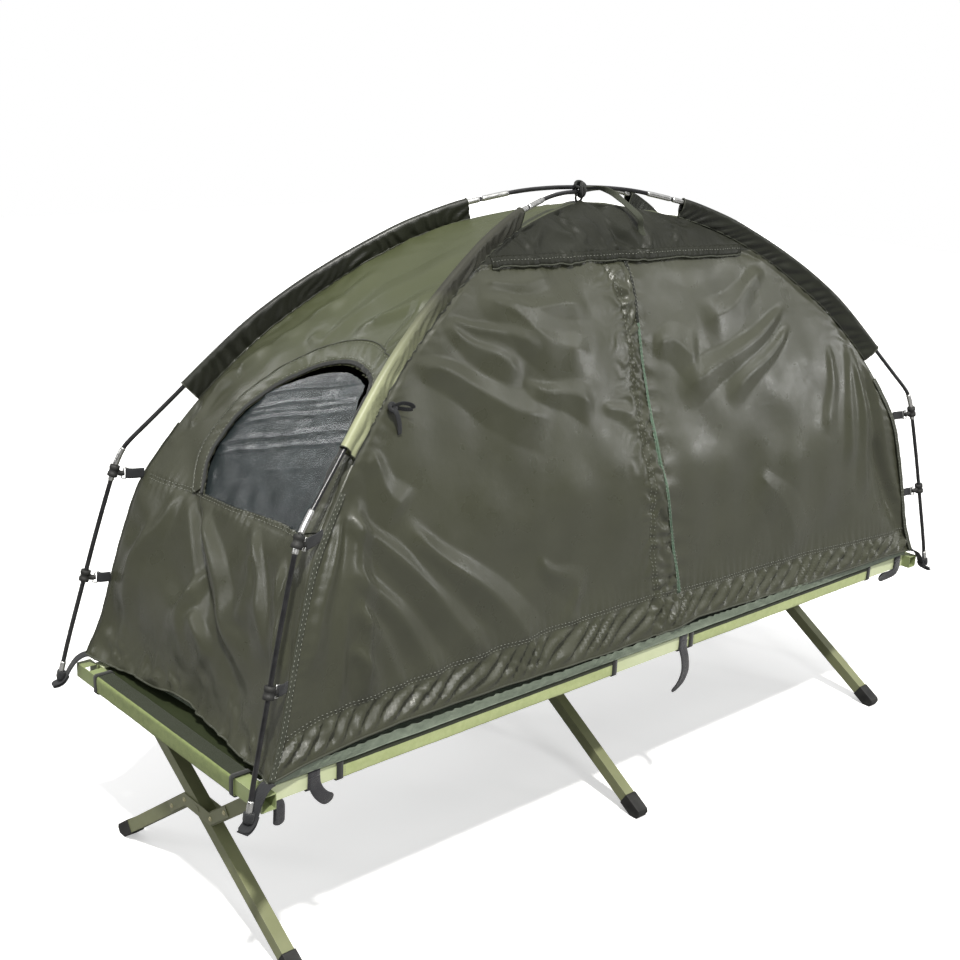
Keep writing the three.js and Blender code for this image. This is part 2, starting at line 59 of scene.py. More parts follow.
STRAP_X = {"head": -0.8375, "mid": 0.092, "foot": 0.894}
SLEEVE_SHARE = (0.235, 0.765)  # where a pole's sleeve begins and ends, as a share of the way down its arm
CROSS, LEAN_B = (0.00176, 0.19433), math.radians(36.7887)  # crossing of a leg set and slope of leg B
NEST = 0.0258  # how far leg B's two tubes lie to either side of its middle line
RIVETS = ((0.036, -NEST), (0.093, -NEST), (-0.036, NEST), (-0.093, NEST))  # along leg B and across it
CLIP_Z = {"near_head": {"high": 0.788, "low": 0.560}, "far_head": {"high": 0.758, "low": 0.560},
          "near_foot": {"high": 0.754, "low": 0.560}, "far_foot": {"high": 0.770, "low": 0.560}}
SIDES, ENDS = {"near": -1, "far": 1}, {"head": -1, "foot": 1}
CORNERS = [(f"{a}_{b}", sx, sy) for a, sy in SIDES.items() for b, sx in ENDS.items()]
# Profiles of a pole and of the corner seam, as share of the way out to the tip, and height. In thousandths
POLE_LINE = np.array([
    [0, 1270], [60, 1268.5], [120, 1263], [180, 1252], [250, 1236], [310, 1216], [363, 1195], [410, 1172],
    [452, 1150], [500, 1123], [552, 1091], [600, 1058], [636, 1031], [670, 1002], [704, 970], [742, 933], [780, 895],
    [830, 846], [862, 815], [876, 798], [885, 780], [895, 752], [927, 643], [955, 540], [983, 436], [1000, 365]
]) / 1000
SEAM_LINE = np.array([
    [12, 1240], [60, 1236], [150, 1224], [250, 1203], [350, 1168], [450, 1118], [530, 1066], [610, 1009], [680, 946],
    [735, 889], [790, 820], [846, 735], [878, 645], [902, 558], [925, 470], [953, 402]
]) / 1000
# Outline of the window on the head end, as y and z in millimetres
WINDOW = np.array([
    [78, 759], [110, 825], [92, 900], [35, 960], [-40, 988], [-100, 990], [-145, 974], [-172, 920], [-188, 860],
    [-214, 770]
]) / 1000

# --- Camera, light and floor
EYE, YAW, PITCH, ROLL = (-2.0365, -1.9523, 1.5351), 0.7470, -0.3033, 0.0494
LENS = 52.49
KEY = 3.4
SKY = (0.05, 0.80)  # strength of the studio's light at the horizon and overhead
BOUNCE = 0.22  # how much light the floor throws back, though it looks paler
GLOW = 0.42
# Small soft lights that the folds of each wall throw back to the eye: watts, place, size
SHEENS = {
    "sheen_high": (12, (3.4, -2.4, 2.9), 0.8), "sheen_low": (16, (3.6, -2.6, 1.3), 0.8),
    "front": (32, (-1.35, -3.6, 2.6), 1.0), "left": (14, (-4.0, 1.7, 2.2), 0.8),
    "behind": (12, (-1.25, 3.3, 3.05), 0.6),
}
FLOOR_HALF, FLOOR_TICKS = 9.0, 25


def new_object(name, data):
    made = bpy.data.objects.new(name, data)
    bpy.context.collection.objects.link(made)
    return made


def make_camera():
    forward = Vector((math.sin(YAW) * math.cos(PITCH), math.cos(YAW) * math.cos(PITCH), math.sin(PITCH)))
    right = forward.cross(Vector((0, 0, 1))).normalized()
    up = right.cross(forward)
    across = math.cos(ROLL) * right + math.sin(ROLL) * up
    upward = -math.sin(ROLL) * right + math.cos(ROLL) * up
    data = bpy.data.cameras.new("camera")
    data.lens, data.sensor_width = LENS, 36
    camera = new_object("camera", data)
    camera.matrix_world = Matrix.Translation(EYE) @ Matrix((across, upward, -forward)).transposed().to_4x4()
    bpy.context.scene.camera = camera


def add_light(name, kind, energy, place, aim=(0, 0, 0.6)):
    data = bpy.data.lights.new(name, kind)
    data.energy = energy
    lamp = new_object(name, data)
    lamp.location = place
    lamp.rotation_euler = (Vector(aim) - Vector(place)).to_track_quat("-Z", "Y").to_euler()
    return data


def make_studio():
    scene = bpy.context.scene
    scene.view_settings.view_transform = "Standard"
    scene.world = bpy.data.worlds.new("studio")
    scene.world.use_nodes = True
    tree = scene.world.node_tree
    # White to the eye. To the object it is a soft light overhead that fades to the horizon
    height = node(tree, "SeparateXYZ", {0: node(tree, "TexCoord", {}, "Generated")}, "Z")
    sky = spread(tree, height, *SKY, 0.0, 0.9)
    seen = node(tree, "LightPath", {}, "Is Camera Ray")
    feed(tree, tree.nodes["Background"], {"Color": (1, 1, 1), "Strength": calc(tree, "MAXIMUM", sky, seen)})
    key = add_light("key", "SUN", KEY, (-1.5, -2.2, 4.6), aim=(0, 0, 0))
    key.angle, key.color = math.radians(3), (1, 0.98, 0.93)
    for name, (energy, place, size) in SHEENS.items():
        data = add_light(name, "AREA", energy, place)
        data.shape, data.size = "DISK", size
    ticks = np.linspace(-FLOOR_HALF, FLOOR_HALF, FLOOR_TICKS)
    mesh = bpy.data.meshes.new("studio_floor")
    mesh.from_pydata([(x, y, -0.0005) for x in ticks for y in ticks], [], grid_faces(FLOOR_TICKS, FLOOR_TICKS))
    # Pale to the eye, and little of it thrown back up at the object
    mat, tree, shader = new_material("studio_floor", (0.92, 0.92, 0.92), 0.9)
    seen = node(tree, "LightPath", {}, "Is Camera Ray")
    pale = mix(tree, spread(tree, noise_of(tree, 3.0), 0, 1), (0.90, 0.90, 0.90), (0.94, 0.94, 0.94))
    feed(tree, shader, {"Base Color": mix(tree, seen, (BOUNCE, BOUNCE, BOUNCE), pale), "Emission Color": (1, 1, 1),
                        "Emission Strength": calc(tree, "MULTIPLY", seen, GLOW)})
    mesh.materials.append(mat)
    new_object("studio_floor", mesh)


# --- Materials
def feed(tree, made, inputs):
    """Links sockets into a node's inputs, or sets them to numbers and colours."""
    for key, value in inputs.items():
        if isinstance(value, bpy.types.NodeSocket):
            tree.links.new(value, made.inputs[key])
        else:
            made.inputs[key].default_value = (*value, 1) if isinstance(value, tuple) else value


def new_material(name, colour, rough, metal=0.0, **sockets):
    mat = bpy.data.materials.new(name)
    mat.use_nodes = True
    tree = mat.node_tree
    shader = tree.nodes["Principled BSDF"]
    feed(tree, shader, {"Base Color": colour, "Roughness": rough, "Metallic": metal})
    feed(tree, shader, {key.replace("_", " "): value for key, value in sockets.items()})
    return mat, tree, shader


def node(tree, kind, inputs, out=0, **settings):
    """One output of a new shader node."""
    made = tree.nodes.new("ShaderNode" + kind)
    for key, value in settings.items():
        setattr(made, key, value)
    feed(tree, made, inputs)
    return made.outputs[out]


def coords(tree, uv=False):
    return node(tree, "TexCoord", {}, "UV" if uv else "Object")


def coordinate(tree, axis):
    return node(tree, "SeparateXYZ", {0: coords(tree)}, axis)


def noise_of(tree, scale, detail=3.0, rough=0.5):
    return node(tree, "TexNoise", {"Vector": coords(tree), "Scale": scale, "Detail": detail, "Roughness": rough}, "Fac")


def spread(tree, value, low, high, from_low=0.3, from_high=0.7):
    """A value between low and high, as the given one goes from from_low to from_high."""
    return node(tree, "MapRange", {"Value": value, "From Min": from_low, "From Max": from_high, "To Min": low,
                                   "To Max": high})


def mix(tree, factor, first, second):
    """Two colours mixed by a value. Each is a colour or a socket."""
    return node(tree, "Mix", {0: factor, 6: first, 7: second}, 2, data_type="RGBA")


def tones(tree, value, dark, light, low=0.3, high=0.7):
    return mix(tree, spread(tree, value, 0, 1, low, high), dark, light)


def calc(tree, kind, a, b=0.0, clamp=False):
    return node(tree, "Math", {0: a, 1: b}, operation=kind, use_clamp=clamp)


def bump(tree, shader, *layers):
    """Bumps from (height, strength, distance) layers, one on the other."""
    under = {}
    for height, strength, distance in layers:
        under = {"Normal": node(tree, "Bump", {"Height": height, "Strength": strength, "Distance": distance, **under})}
    feed(tree, shader, under)


def weave_of(tree, pitch, uv=True, kind="MULTIPLY"):
    """Height of a weave with threads pitch metres apart: MULTIPLY for a plain one, MAXIMUM for a ribbed one."""
    return calc(tree, kind, *[
        node(tree, "TexWave", {"Vector": coords(tree, uv), "Scale": 0.314 / pitch,
                               "Distortion": 0.6, "Detail Scale": 2.0}, "Fac", bands_direction=way)
        for way in ("XY" if uv else "XZ")])


# Mask for the painted shade on the tops of the rail and bar sleeves, and for the zip tape's darker upper part
def high_part(tree, height, reach=10.0):
    """1 above a height and within reach of the middle lengthwise, else 0."""
    near = calc(tree, "LESS_THAN", calc(tree, "ABSOLUTE", coordinate(tree, "X")), reach)
    return calc(tree, "MULTIPLY", calc(tree, "GREATER_THAN", coordinate(tree, "Z"), height), near)


# Mask for the painted glow on the lower end of the near-head pole sleeve
def low_part(tree, low, high):
    """1 below low, fading to 0 at high."""
    return spread(tree, coordinate(tree, "Z"), 1, 0, low, high)


# Mask for the painted light on the roof of the two ends
def end_roof(tree, low, high):
    """0 below the roof of the two ends, and 1 on it."""
    long = calc(tree, "MULTIPLY", calc(tree, "ABSOLUTE", coordinate(tree, "X")), float(TIP[1] / TIP[0]))
    end = calc(tree, "GREATER_THAN", long, calc(tree, "ABSOLUTE", coordinate(tree, "Y")))
    return calc(tree, "MULTIPLY", spread(tree, coordinate(tree, "Z"), 0, 1, low, high), end)


def cloth(name, dark, light, rough, pitch=0.0016, uv=True, weave=0.25, crease=0.15, spec=0.5, sheen=0.0, patch=7.0,
          over=None, matt=0.10):
    """Woven cloth in two tones. over is (colour, function that says where it is, its numbers): another colour on
    part of this, rougher by matt. On the tent cloth it is painted light on the ends' roof; on the rail and bar
    sleeve cloths it is painted shade on their tops."""
    mat, tree, shader = new_material(name, dark, rough, Sheen_Weight=sheen, Specular_IOR_Level=spec)
    threads = weave_of(tree, pitch, uv)
    patches = calc(tree, "MULTIPLY", noise_of(tree, patch, 4.0, 0.6), 0.75)
    base = tones(tree, calc(tree, "ADD", patches, calc(tree, "MULTIPLY", threads, 0.25)), dark, light, 0.25, 0.75)
    gloss = spread(tree, noise_of(tree, 22.0), rough - 0.06, rough + 0.08)
    if over:
        where = over[1](tree, *over[2:])
        base = mix(tree, where, base, over[0])
        gloss = calc(tree, "ADD", gloss, calc(tree, "MULTIPLY", where, matt), True)
    feed(tree, shader, {"Base Color": base, "Roughness": gloss})
    bump(tree, shader, (threads, weave, 0.0006), (noise_of(tree, 60.0, 5.0, 0.6), crease, 0.003))
    return mat


def paint(name, dark, light, rough, edge, metal=0.0, wear=0.35):
    """Powder paint: fine orange-peel, grime, and edges rubbed paler."""
    mat, tree, shader = new_material(name, dark, rough, metal, Coat_Weight=0.15, Coat_Roughness=0.3)
    base = tones(tree, noise_of(tree, 9.0, 5.0, 0.6), dark, light)
    soft = node(tree, "Bevel", {"Radius": 0.0016}, samples=4)
    true = node(tree, "NewGeometry", {}, "Normal")
    facing = node(tree, "VectorMath", {0: soft, 1: true}, "Value", operation="DOT_PRODUCT")
    at_edge = spread(tree, facing, 1, 0, 0.90, 0.995)
    rubbed = calc(tree, "MULTIPLY", at_edge, spread(tree, noise_of(tree, 55.0, 4.0), 0, wear, 0.42, 0.62), True)
    feed(tree, shader, {"Base Color": mix(tree, rubbed, base, edge),
                        "Roughness": spread(tree, noise_of(tree, 35.0), rough - 0.07, rough + 0.1)})
    bump(tree, shader, (noise_of(tree, 900.0, 2.0), 0.12, 0.0003), (noise_of(tree, 30.0, 2.0), 0.05, 0.002))
    return mat


def webbing_mat(name, dark, light):
    """Narrow webbing, ribbed across."""
    mat, tree, shader = new_material(name, dark, 0.75, Sheen_Weight=0.15, Specular_IOR_Level=0.35)
    ribs = weave_of(tree, 0.0022, kind="MAXIMUM")
    feed(tree, shader, {"Base Color": tones(tree, ribs, dark, light, 0.1, 1.0)})
    bump(tree, shader, (ribs, 0.5, 0.0006), (noise_of(tree, 300.0, 2.0), 0.15, 0.0005))
    return mat


def bare_metal(name, colour, rough):
    mat, tree, shader = new_material(name, colour, rough, 1.0)
    streaks = noise_of(tree, 220.0, 3.0, 0.6)
    feed(tree, shader, {"Base Color": tones(tree, streaks, tuple(c * 0.82 for c in colour), colour),
                        "Roughness": spread(tree, noise_of(tree, 90.0), rough - 0.05, rough + 0.12)})
    bump(tree, shader, (streaks, 0.06, 0.0004))
    return mat


def mottled(name, dark, light, rough, scale, detail, grain=None, **sockets):
    """A plain surface in two tones. grain is (scale, detail, strength, distance) of a fine bump."""
    mat, tree, shader = new_material(name, dark, rough, **sockets)
    feed(tree, shader, {"Base Color": tones(tree, noise_of(tree, scale, detail), dark, light)})
    if grain:
        bump(tree, shader, (noise_of(tree, *grain[:2]), *grain[2:]))
    return mat


def make_materials():
    return {
        # Tent cloth: the roof of both ends is painted lighter and greener, a painted highlight where it faces the
        # overhead light
        "tent": cloth("tent_cloth", (0.045, 0.047, 0.030), (0.066, 0.069, 0.045), 0.31, weave=0.10, crease=0.09,
                      spec=0.6, sheen=0.03, over=((0.066, 0.076, 0.032), end_roof, 0.90, 1.10)),
        "crown": cloth("crown_cloth", (0.018, 0.019, 0.014), (0.034, 0.036, 0.027), 0.40, weave=0.12, crease=0.14,
                       spec=0.22),
        "trim": cloth("tent_trim", (0.046, 0.050, 0.036), (0.066, 0.070, 0.050), 0.45, uv=False, weave=0.15),
        "sleeve_dark": cloth("pole_sleeve_cloth", (0.012, 0.013, 0.009), (0.026, 0.029, 0.018), 0.38, weave=0.12,
                             crease=0.2),
        # Near-head pole sleeve: a lit copy of the sleeve cloth, paler all over, with a painted glow of sunlight shining
        # through towards its lower end
        "sleeve_painted_light": cloth("pole_sleeve_cloth_painted_light", (0.030, 0.030, 0.021), (0.052, 0.052, 0.036), 0.42, weave=0.12,
                            crease=0.2, over=((0.345, 0.365, 0.215), low_part, 0.98, 1.13), matt=0.0),
        "film": cloth("window_film", (0.016, 0.022, 0.023), (0.038, 0.047, 0.050), 0.16, 0.0018, weave=0.3,
                      crease=0.3, spec=1.0, patch=14.0),
        "floor": cloth("floor_cloth", (0.15, 0.185, 0.14), (0.25, 0.29, 0.225), 0.42, 0.0022, weave=0.35, crease=0.8,
                       patch=40.0),
        # Bed cloth: darker than the sleeve cloth, partly its own dark green and partly painted shade from the tent
        # above it
        "canvas": cloth("bed_cloth", (0.018, 0.025, 0.008), (0.031, 0.041, 0.014), 0.76, 0.0014, weave=0.5,
                        crease=0.1, spec=0.3),
        # Rail sleeves: their tops above 0.380 m are painted dark, painted shade from the tent above them
        "sleeve": cloth("sleeve_cloth", (0.42, 0.49, 0.21), (0.54, 0.60, 0.30), 0.68, 0.0015, weave=0.6, crease=0.12,
                        sheen=0.1, patch=90.0, over=((0.022, 0.028, 0.012), high_part, 0.380)),
        # End bar sleeves: their tops above 0.380 m are painted dark, painted shade from the tent above them
        "bar_sleeve": cloth("bar_sleeve_cloth", (0.17, 0.215, 0.07), (0.26, 0.31, 0.115), 0.68, 0.0015, weave=0.6,
                            crease=0.12, sheen=0.1, patch=90.0, over=((0.016, 0.022, 0.007), high_part, 0.380, BAR_X)),
        "band": webbing_mat("binding_tape", (0.012, 0.013, 0.012), (0.03, 0.032, 0.03)),
        "web": webbing_mat("webbing", (0.008, 0.009, 0.010), (0.028, 0.029, 0.032)),
        "velcro": cloth("hook_and_loop", (0.010, 0.010, 0.013), (0.030, 0.030, 0.036), 0.85, 0.0018, weave=0.8,
                        crease=0.5, sheen=0.3, patch=300.0),
        "tape": webbing_mat("hanging_tape", (0.030, 0.034, 0.024), (0.060, 0.066, 0.046)),
        "zip": cloth("zip_tape", (0.085, 0.14, 0.095), (0.17, 0.25, 0.18), 0.55, 0.0014, weave=0.4,
                     over=((0.020, 0.022, 0.017), high_part, 1.03)),
        "thread": mottled("stitch_thread", (0.20, 0.21, 0.18), (0.36, 0.37, 0.32), 0.6, 700.0, 2.0),
        "rod": mottled("pole_rod", (0.008, 0.008, 0.009), (0.022, 0.022, 0.024), 0.28, 60.0, 4.0,
                       (500.0, 2.0, 0.08, 0.0003), Coat_Weight=0.3),
        "ferrule": bare_metal("ferrule_metal", (0.82, 0.82, 0.80), 0.27),
        "brass": bare_metal("rivet_brass", (0.80, 0.74, 0.48), 0.33),
        "rail": paint("rail_paint", (0.60, 0.66, 0.40), (0.70, 0.75, 0.50), 0.42, (0.80, 0.82, 0.66)),
        "bar": paint("bar_paint", (0.235, 0.285, 0.125), (0.31, 0.36, 0.18), 0.42, (0.60, 0.64, 0.44)),
        "leg": paint("leg_paint", (0.180, 0.192, 0.098), (0.235, 0.248, 0.136), 0.40, (0.42, 0.42, 0.31)),
        "bracket": paint("bracket_steel", (0.230, 0.240, 0.140), (0.285, 0.295, 0.180), 0.40, (0.50, 0.49, 0.40),
                         0.1, 0.6),
        "rubber": mottled("rubber", (0.009, 0.009, 0.009), (0.030, 0.030, 0.028), 0.62, 40.0, 4.0,
                          (420.0, 3.0, 0.25, 0.0006)),
    }


# --- Shapes
NOISE_WAVES = 9


def noise(points, size, seed):
    """Smooth noise, mostly between -1 and 1, with features about size across."""
    rng = np.random.default_rng(seed)
    p = np.atleast_2d(points) / size
    total = np.zeros(len(p))
    for _ in range(NOISE_WAVES):
        way = rng.normal(size=p.shape[1])
        total += np.sin(2 * np.pi * (p @ (way / np.linalg.norm(way))) * rng.uniform(0.5, 1.25) + rng.uniform(0, 6.28))
    return total / math.sqrt(NOISE_WAVES * 1.3)


def step(x, a, b):
    t = np.clip((x - a) / (b - a), 0, 1)
    return t * t * (3 - 2 * t)


def zigzag(phase, rise=0.5):
    """A wave of flat slopes: up for the rise share of each turn, then down."""
    t = phase % 1
    return 2 * np.where(t < rise, t / rise, (1 - t) / (1 - rise)) - 1


def wave(x, length, shift):
    return np.sin(2 * np.pi * x / length + shift)


def bell(x, wide):
    return np.exp(-((x / wide) ** 2))


def xyz(*parts):
    """Points from their coordinates, any of which may be one number."""
    return np.stack(np.broadcast_arrays(*parts), -1)


def unit(v):
    return v / np.maximum(np.linalg.norm(v, axis=-1, keepdims=True), 1e-12)


def full_turn(n):
    return np.linspace(0, 2 * np.pi, n, endpoint=False)


def tangents(line):
    return unit(np.gradient(line, axis=0))


def run_of(line):
    """How far along a line each of its points is."""
    return np.concatenate([[0], np.cumsum(np.linalg.norm(np.diff(line, axis=0), axis=1))])


def sample(table, run, at):
    """Rows of a table that is known at run, at other places."""
    return np.stack([np.interp(at, run, column) for column in table.T], -1)


def smooth_line(points, n):
    """n evenly spaced points on a smooth curve through the given ones."""
    p = np.array(points, float)
    p = np.vstack([2 * p[0] - p[1], p, 2 * p[-1] - p[-2]])
    t = np.linspace(0, 1, 16, endpoint=False)[:, None]
    parts = [0.5 * (2 * b + (c - a) * t + (2 * a - 5 * b + 4 * c - d) * t**2 + (3 * b - a - 3 * c + d) * t**3)
             for a, b, c, d in zip(p, p[1:], p[2:], p[3:])]
    q = np.vstack([*parts, p[-2][None]])
    run = run_of(q)
    return sample(q, run, np.linspace(0, run[-1], n))


def route(start, places, way, n):
    """n points on a smooth curve through places, given in millimetres from a start."""
    return smooth_line(start + np.array(places) * way / 1000, n)


def offset(line, by):
    """A flat line moved sideways."""
    t = tangents(np.asarray(line, float))
    return line + by * np.stack([-t[:, 1], t[:, 0]], 1)


TENT_PIECES = []


def piece(name, points, faces, look, uv, body="tent", replaces=(), slot=None):
    mesh = bpy.data.meshes.new(name)
    mesh.from_pydata(np.asarray(points, float).tolist(), [], faces)
    mesh.validate()
    mesh.polygons.foreach_set("use_smooth", [True] * len(mesh.polygons))
    layer = mesh.uv_layers.new(name="UVMap")
    index = np.zeros(len(mesh.loops), np.int32)
    mesh.loops.foreach_get("vertex_index", index)
    layer.data.foreach_set("uv", np.asarray(uv, np.float32)[index].ravel())
    mesh.materials.append(MATS[look])
    made = new_object(name, mesh)
    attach(made, body)
    if replaces:
        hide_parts(*([replaces] if isinstance(replaces, str) else replaces))
    if body == "tent":
        TENT_PIECES.append(made)
    return made


def flat_grid(first, second):
    """A level grid's shape, its points in one list, and their two coordinates."""
    a, b = np.meshgrid(first, second)
    points = xyz(a.ravel(), b.ravel())
    return a.shape, points, *points.T


def grid_faces(rows, cols, wrap=False):
    return [(i + j, i + (j + 1) % cols, i + cols + (j + 1) % cols, i + cols + j)
            for i in range(0, (rows - 1) * cols, cols) for j in range(cols if wrap else cols - 1)]


def grid_uv(grid):
    """Distances along the rows and down the columns of a grid of points, in metres."""
    across, down = np.zeros(grid.shape[:2]), np.zeros(grid.shape[:2])
    across[:, 1:] = np.cumsum(np.linalg.norm(np.diff(grid, axis=1), axis=2), axis=1)
    down[1:] = np.cumsum(np.linalg.norm(np.diff(grid, axis=0), axis=2), axis=0)
    return np.stack([across.ravel(), down.ravel()], 1)


def ring_uv(grid):
    """The same for a grid whose rows are closed rings."""
    uv = grid_uv(np.concatenate([grid, grid[:, :1]], 1))
    return uv.reshape(len(grid), -1, 2)[:, :-1].reshape(-1, 2)


def thicken(made, thick, side=0):
    solid = made.modifiers.new("thickness", "SOLIDIFY")
    solid.thickness, solid.offset = thick, side


def sheet_piece(name, grid, look, body="tent", **more):
    return piece(name, grid.reshape(-1, 3), grid_faces(*grid.shape[:2]), look, grid_uv(grid), body, **more)


def swept(loops):
    """Points, faces and uv of closed loops joined one to the next, with closed ends."""
    rows, cols = loops.shape[:2]
    ends = [tuple(range(cols))[::-1], tuple(range((rows - 1) * cols, rows * cols))]
    return loops.reshape(-1, 3), grid_faces(rows, cols, wrap=True) + ends, grid_uv(loops)


RIBBON = np.array([[-1, -0.5], [-0.93, -1], [-0.5, -1], [0, -1], [0.5, -1], [0.93, -1], [1, -0.5],
                   [1, 0.5], [0.93, 1], [0.5, 1], [0, 1], [-0.5, 1], [-0.93, 1], [-1, 0.5]])  # section of a strap


def ribbon(name, line, side, width, thick, look, body="tent", taper=0.0, **more):
    """A flat strap with rounded edges along a line. side is the direction across it, one or one for each point."""
    line = np.asarray(line, float)
    along = tangents(line)
    side = np.broadcast_to(np.asarray(side, float), line.shape)
    side = unit(side - (side * along).sum(1, keepdims=True) * along)
    up = np.cross(side, along)
    width = np.broadcast_to(np.asarray(width, float), len(line)).copy()
    if taper:
        run = run_of(line)
        left = np.clip((run[-1] - run) / taper, 0, 1)
        width *= np.sqrt(np.maximum(1 - (1 - left) ** 2, 0.02))
    loops = line[:, None] + side[:, None] * RIBBON[None, :, :1] * (width[:, None, None] / 2)
    loops = loops + up[:, None] * RIBBON[None, :, 1:] * (thick / 2)
    return several(name, [swept(loops)], look, body, **more)


def tube_loops(line, radius, n):
    line = np.asarray(line, float)
    along = tangents(line)
    side = np.zeros_like(line)
    side[0] = unit(np.cross(along[0], [0.13, 0.31, 0.94]))
    for i in range(1, len(line)):
        side[i] = unit(side[i - 1] - along[i] * (side[i - 1] @ along[i]))
    up = np.cross(along, side)
    t = full_turn(n)[None, :, None]
    radius = np.broadcast_to(np.asarray(radius, float), len(line))[:, None, None]
    return line[:, None] + radius * (np.cos(t) * side[:, None] + np.sin(t) * up[:, None])


def tube(name, line, radius, look, n, **more):
    return several(name, [swept(tube_loops(line, radius, n))], look, **more)


def several(name, parts, look, body="tent", **more):
    """One piece made of several (points, faces, uv)."""
    faces, start = [], 0
    for p, f, _ in parts:
        faces += [tuple(i + start for i in face) for face in f]
        start += len(p)
    points, uvs = (np.vstack([part[k] for part in parts]) for k in (0, 2))
    return piece(name, points, faces, look, uvs, body, **more)


STITCH_R = 0.0008
STITCH_FACES = ((0, 1, 2), (0, 2, 3), (4, 2, 1), (4, 3, 2), (0, 3, 1), (4, 1, 3))


def stitches(name, rows, body="tent", length=0.0055, gap=0.0028):
    """Rows of separate thread stitches along lines, each given as its points and the normals there."""
    parts = []
    for line, normals in rows:
        run = run_of(line)
        starts = np.arange(int(run[-1] / (length + gap))) * (length + gap)
        out = unit(sample(normals, run, starts))
        a, b = sample(line, run, starts), sample(line, run, starts + length)
        across, mid = unit(np.cross(unit(b - a), out)), (a + b) / 2
        points = np.stack([a, mid + across * STITCH_R, mid + out * STITCH_R, mid - across * STITCH_R, b], 1)
        points = points.reshape(-1, 3)
        faces = [tuple(o + k for k in face) for o in range(0, len(points), 5) for face in STITCH_FACES]
        parts.append((points, faces, points[:, [0, 2]]))
    several(name, parts, "thread", body)


# --- Tent canopy
# Lines on the long walls, as x and z in millimetres: the hem, the flap, the zip and the seam beside it
HEM_SEAM = np.array([
    [-900, 459], [-807, 476], [-661, 483], [-430, 492], [-169, 490], [6, 490], [131, 480], [478, 471], [840, 456],
    [930, 452]
]) / 1000
HEM_LOW = np.array([
    [-930, 404], [-871, 413], [-664, 425], [-433, 420], [-170, 411], [67, 413], [130, 421], [478, 408], [842, 408],
    [930, 402]
]) / 1000
FLAP_Z = np.array([
    [-400, 1156], [-167, 1151], [54, 1147], [235, 1143], [430, 1138]
]) / 1000
ZIP = np.array([
    [15, 1140], [0, 1018], [2, 887], [16, 731], [50, 603], [86, 440]
]) / 1000
DOOR_SEAM = np.array([
    [-48, 1143], [-33, 1075], [-35, 948], [-27, 796], [-17, 637], [-1, 500]
]) / 1000
# Creases: both ends in centimetres, as x and z, or y and z on the end; then half the width and the height, in
# millimetres
CREASE_UNITS = (100, 100, 100, 100, 1000, 1000)
NEAR_CREASES = np.array([
    (-74, 81, -43, 50, 19, 10), (-61, 76, -30, 49, 23, 10), (-74, 72, -54, 49, 17, 9), (-74, 66, -62, 48, 15, 8),
    (-75, 59, -68, 48, 12, 6), (-74, 81, -76, 48, 16, 11), (-75, 80, -81, 47, 12, 9), (-77, 80, -86, 57, 10, 7),
    (-73, 64, -72, 48, 10, 6), (-32, 64, -19, 57, 16, 4), (-22, 56, -22, 49, 12, 4), (-55, 102, -27, 91, 21, 9),
    (-48, 107, -32, 99, 14, 6), (-47, 108, -28, 103, 10, 5), (-37, 113, -20, 114, 12, 5),
    (-38, 111, -14, 101, 26, 8), (-31, 96, -15, 92, 15, 6), (-34, 110, -13, 109, 18, 6), (-69, 89, -62, 80, 18, 6),
    (41, 110, 20, 103, 20, 7), (45, 102, 11, 91, 16, 8), (46, 98, 24, 88, 13, 6), (5, 101, 17, 99, 25, 6),
    (66, 92, 64, 66, 13, 5), (69, 90, 75, 58, 12, 7), (73, 85, 87, 49, 17, -11), (60, 92, 56, 75, 13, 4),
    (78, 70, 91, 43, 12, -8), (-12, 90, 0, 86, 12, 3), (35, 70, 52, 52, 30, 4)
]) / CREASE_UNITS
HEAD_CREASES = np.array([
    (10, 75, -17, 47, 17, -11), (4, 74, -13, 56, 22, 10), (21, 68, 26, 43, 16, 6), (16, 74, 28, 51, 16, 7),
    (5, 62, 6, 47, 18, 8), (-12, 71, -14, 60, 14, 6), (-10, 75, -23, 58, 15, 7), (-20, 72, -28, 55, 13, 8),
    (-23, 72, -23, 51, 11, 7), (1, 58, -5, 51, 16, 8), (-12, 102, -15, 107, 7, 4), (-12, 103, -12, 110, 8, 5),
    (-3, 106, -11, 111, 7, 5), (20, 84, 20, 90, 9, 5), (9, 102, 4, 103, 9, 4), (2, 66, 10, 50, 14, 6),
    (6, 104, -5, 119, 22, 6), (0, 105, -13, 114, 12, 7), (22, 90, 17, 99, 10, 5), (19, 95, 13, 103, 10, 5),
    (16, 100, 10, 108, 10, 5), (12, 104, 8, 112, 10, 4)
]) / CREASE_UNITS


def place_at(z, line=SEAM_LINE):
    """Where a line down a wall is at a height. The corner seam's is a share of the way to the pole's tip."""
    return np.interp(-np.asarray(z), -line[:, 1], line[:, 0])


def crease(h, z, row):
    """A fold from one point to another: a slope that faces up, its ridge, and a longer slope under it."""
    h0, z0, h1, z1, width, height = row
    dh, dz = h1 - h0, z1 - z0
    long = math.hypot(dh, dz)
    t = ((h - h0) * dh + (z - z0) * dz) / long**2
    off = ((z - z0) * dh - (h - h0) * dz) / long * (1 if dh >= 0 else -1)
    off = off + 0.3 * width * np.sin(7 * t + 40 * h0)
    wide = 1.9 * width * (0.45 + 0.75 * np.clip(t, 0, 1))
    u = off / wide + 0.5
    ends = step(t, -0.08, 0.12) * (1 - step(t, 0.82, 1.08))
    return 1.25 * height * ends * np.clip(np.minimum(1 - u, 1 + u / 1.4), 0, None)


def shaken(p, by, size, seed):
    """Places moved about, so that what is read there is less even."""
    return p + by * np.stack([noise(p, size, seed), noise(p, size, seed + 1)], 1)


def crumple(p, level, size, fine, fine_size, seed):
    """Cloth in sharp ridges, with finer lumps on them."""
    return 0.0060 * (level - np.abs(noise(p, size, seed))) + fine * noise(p, fine_size, seed + 1)


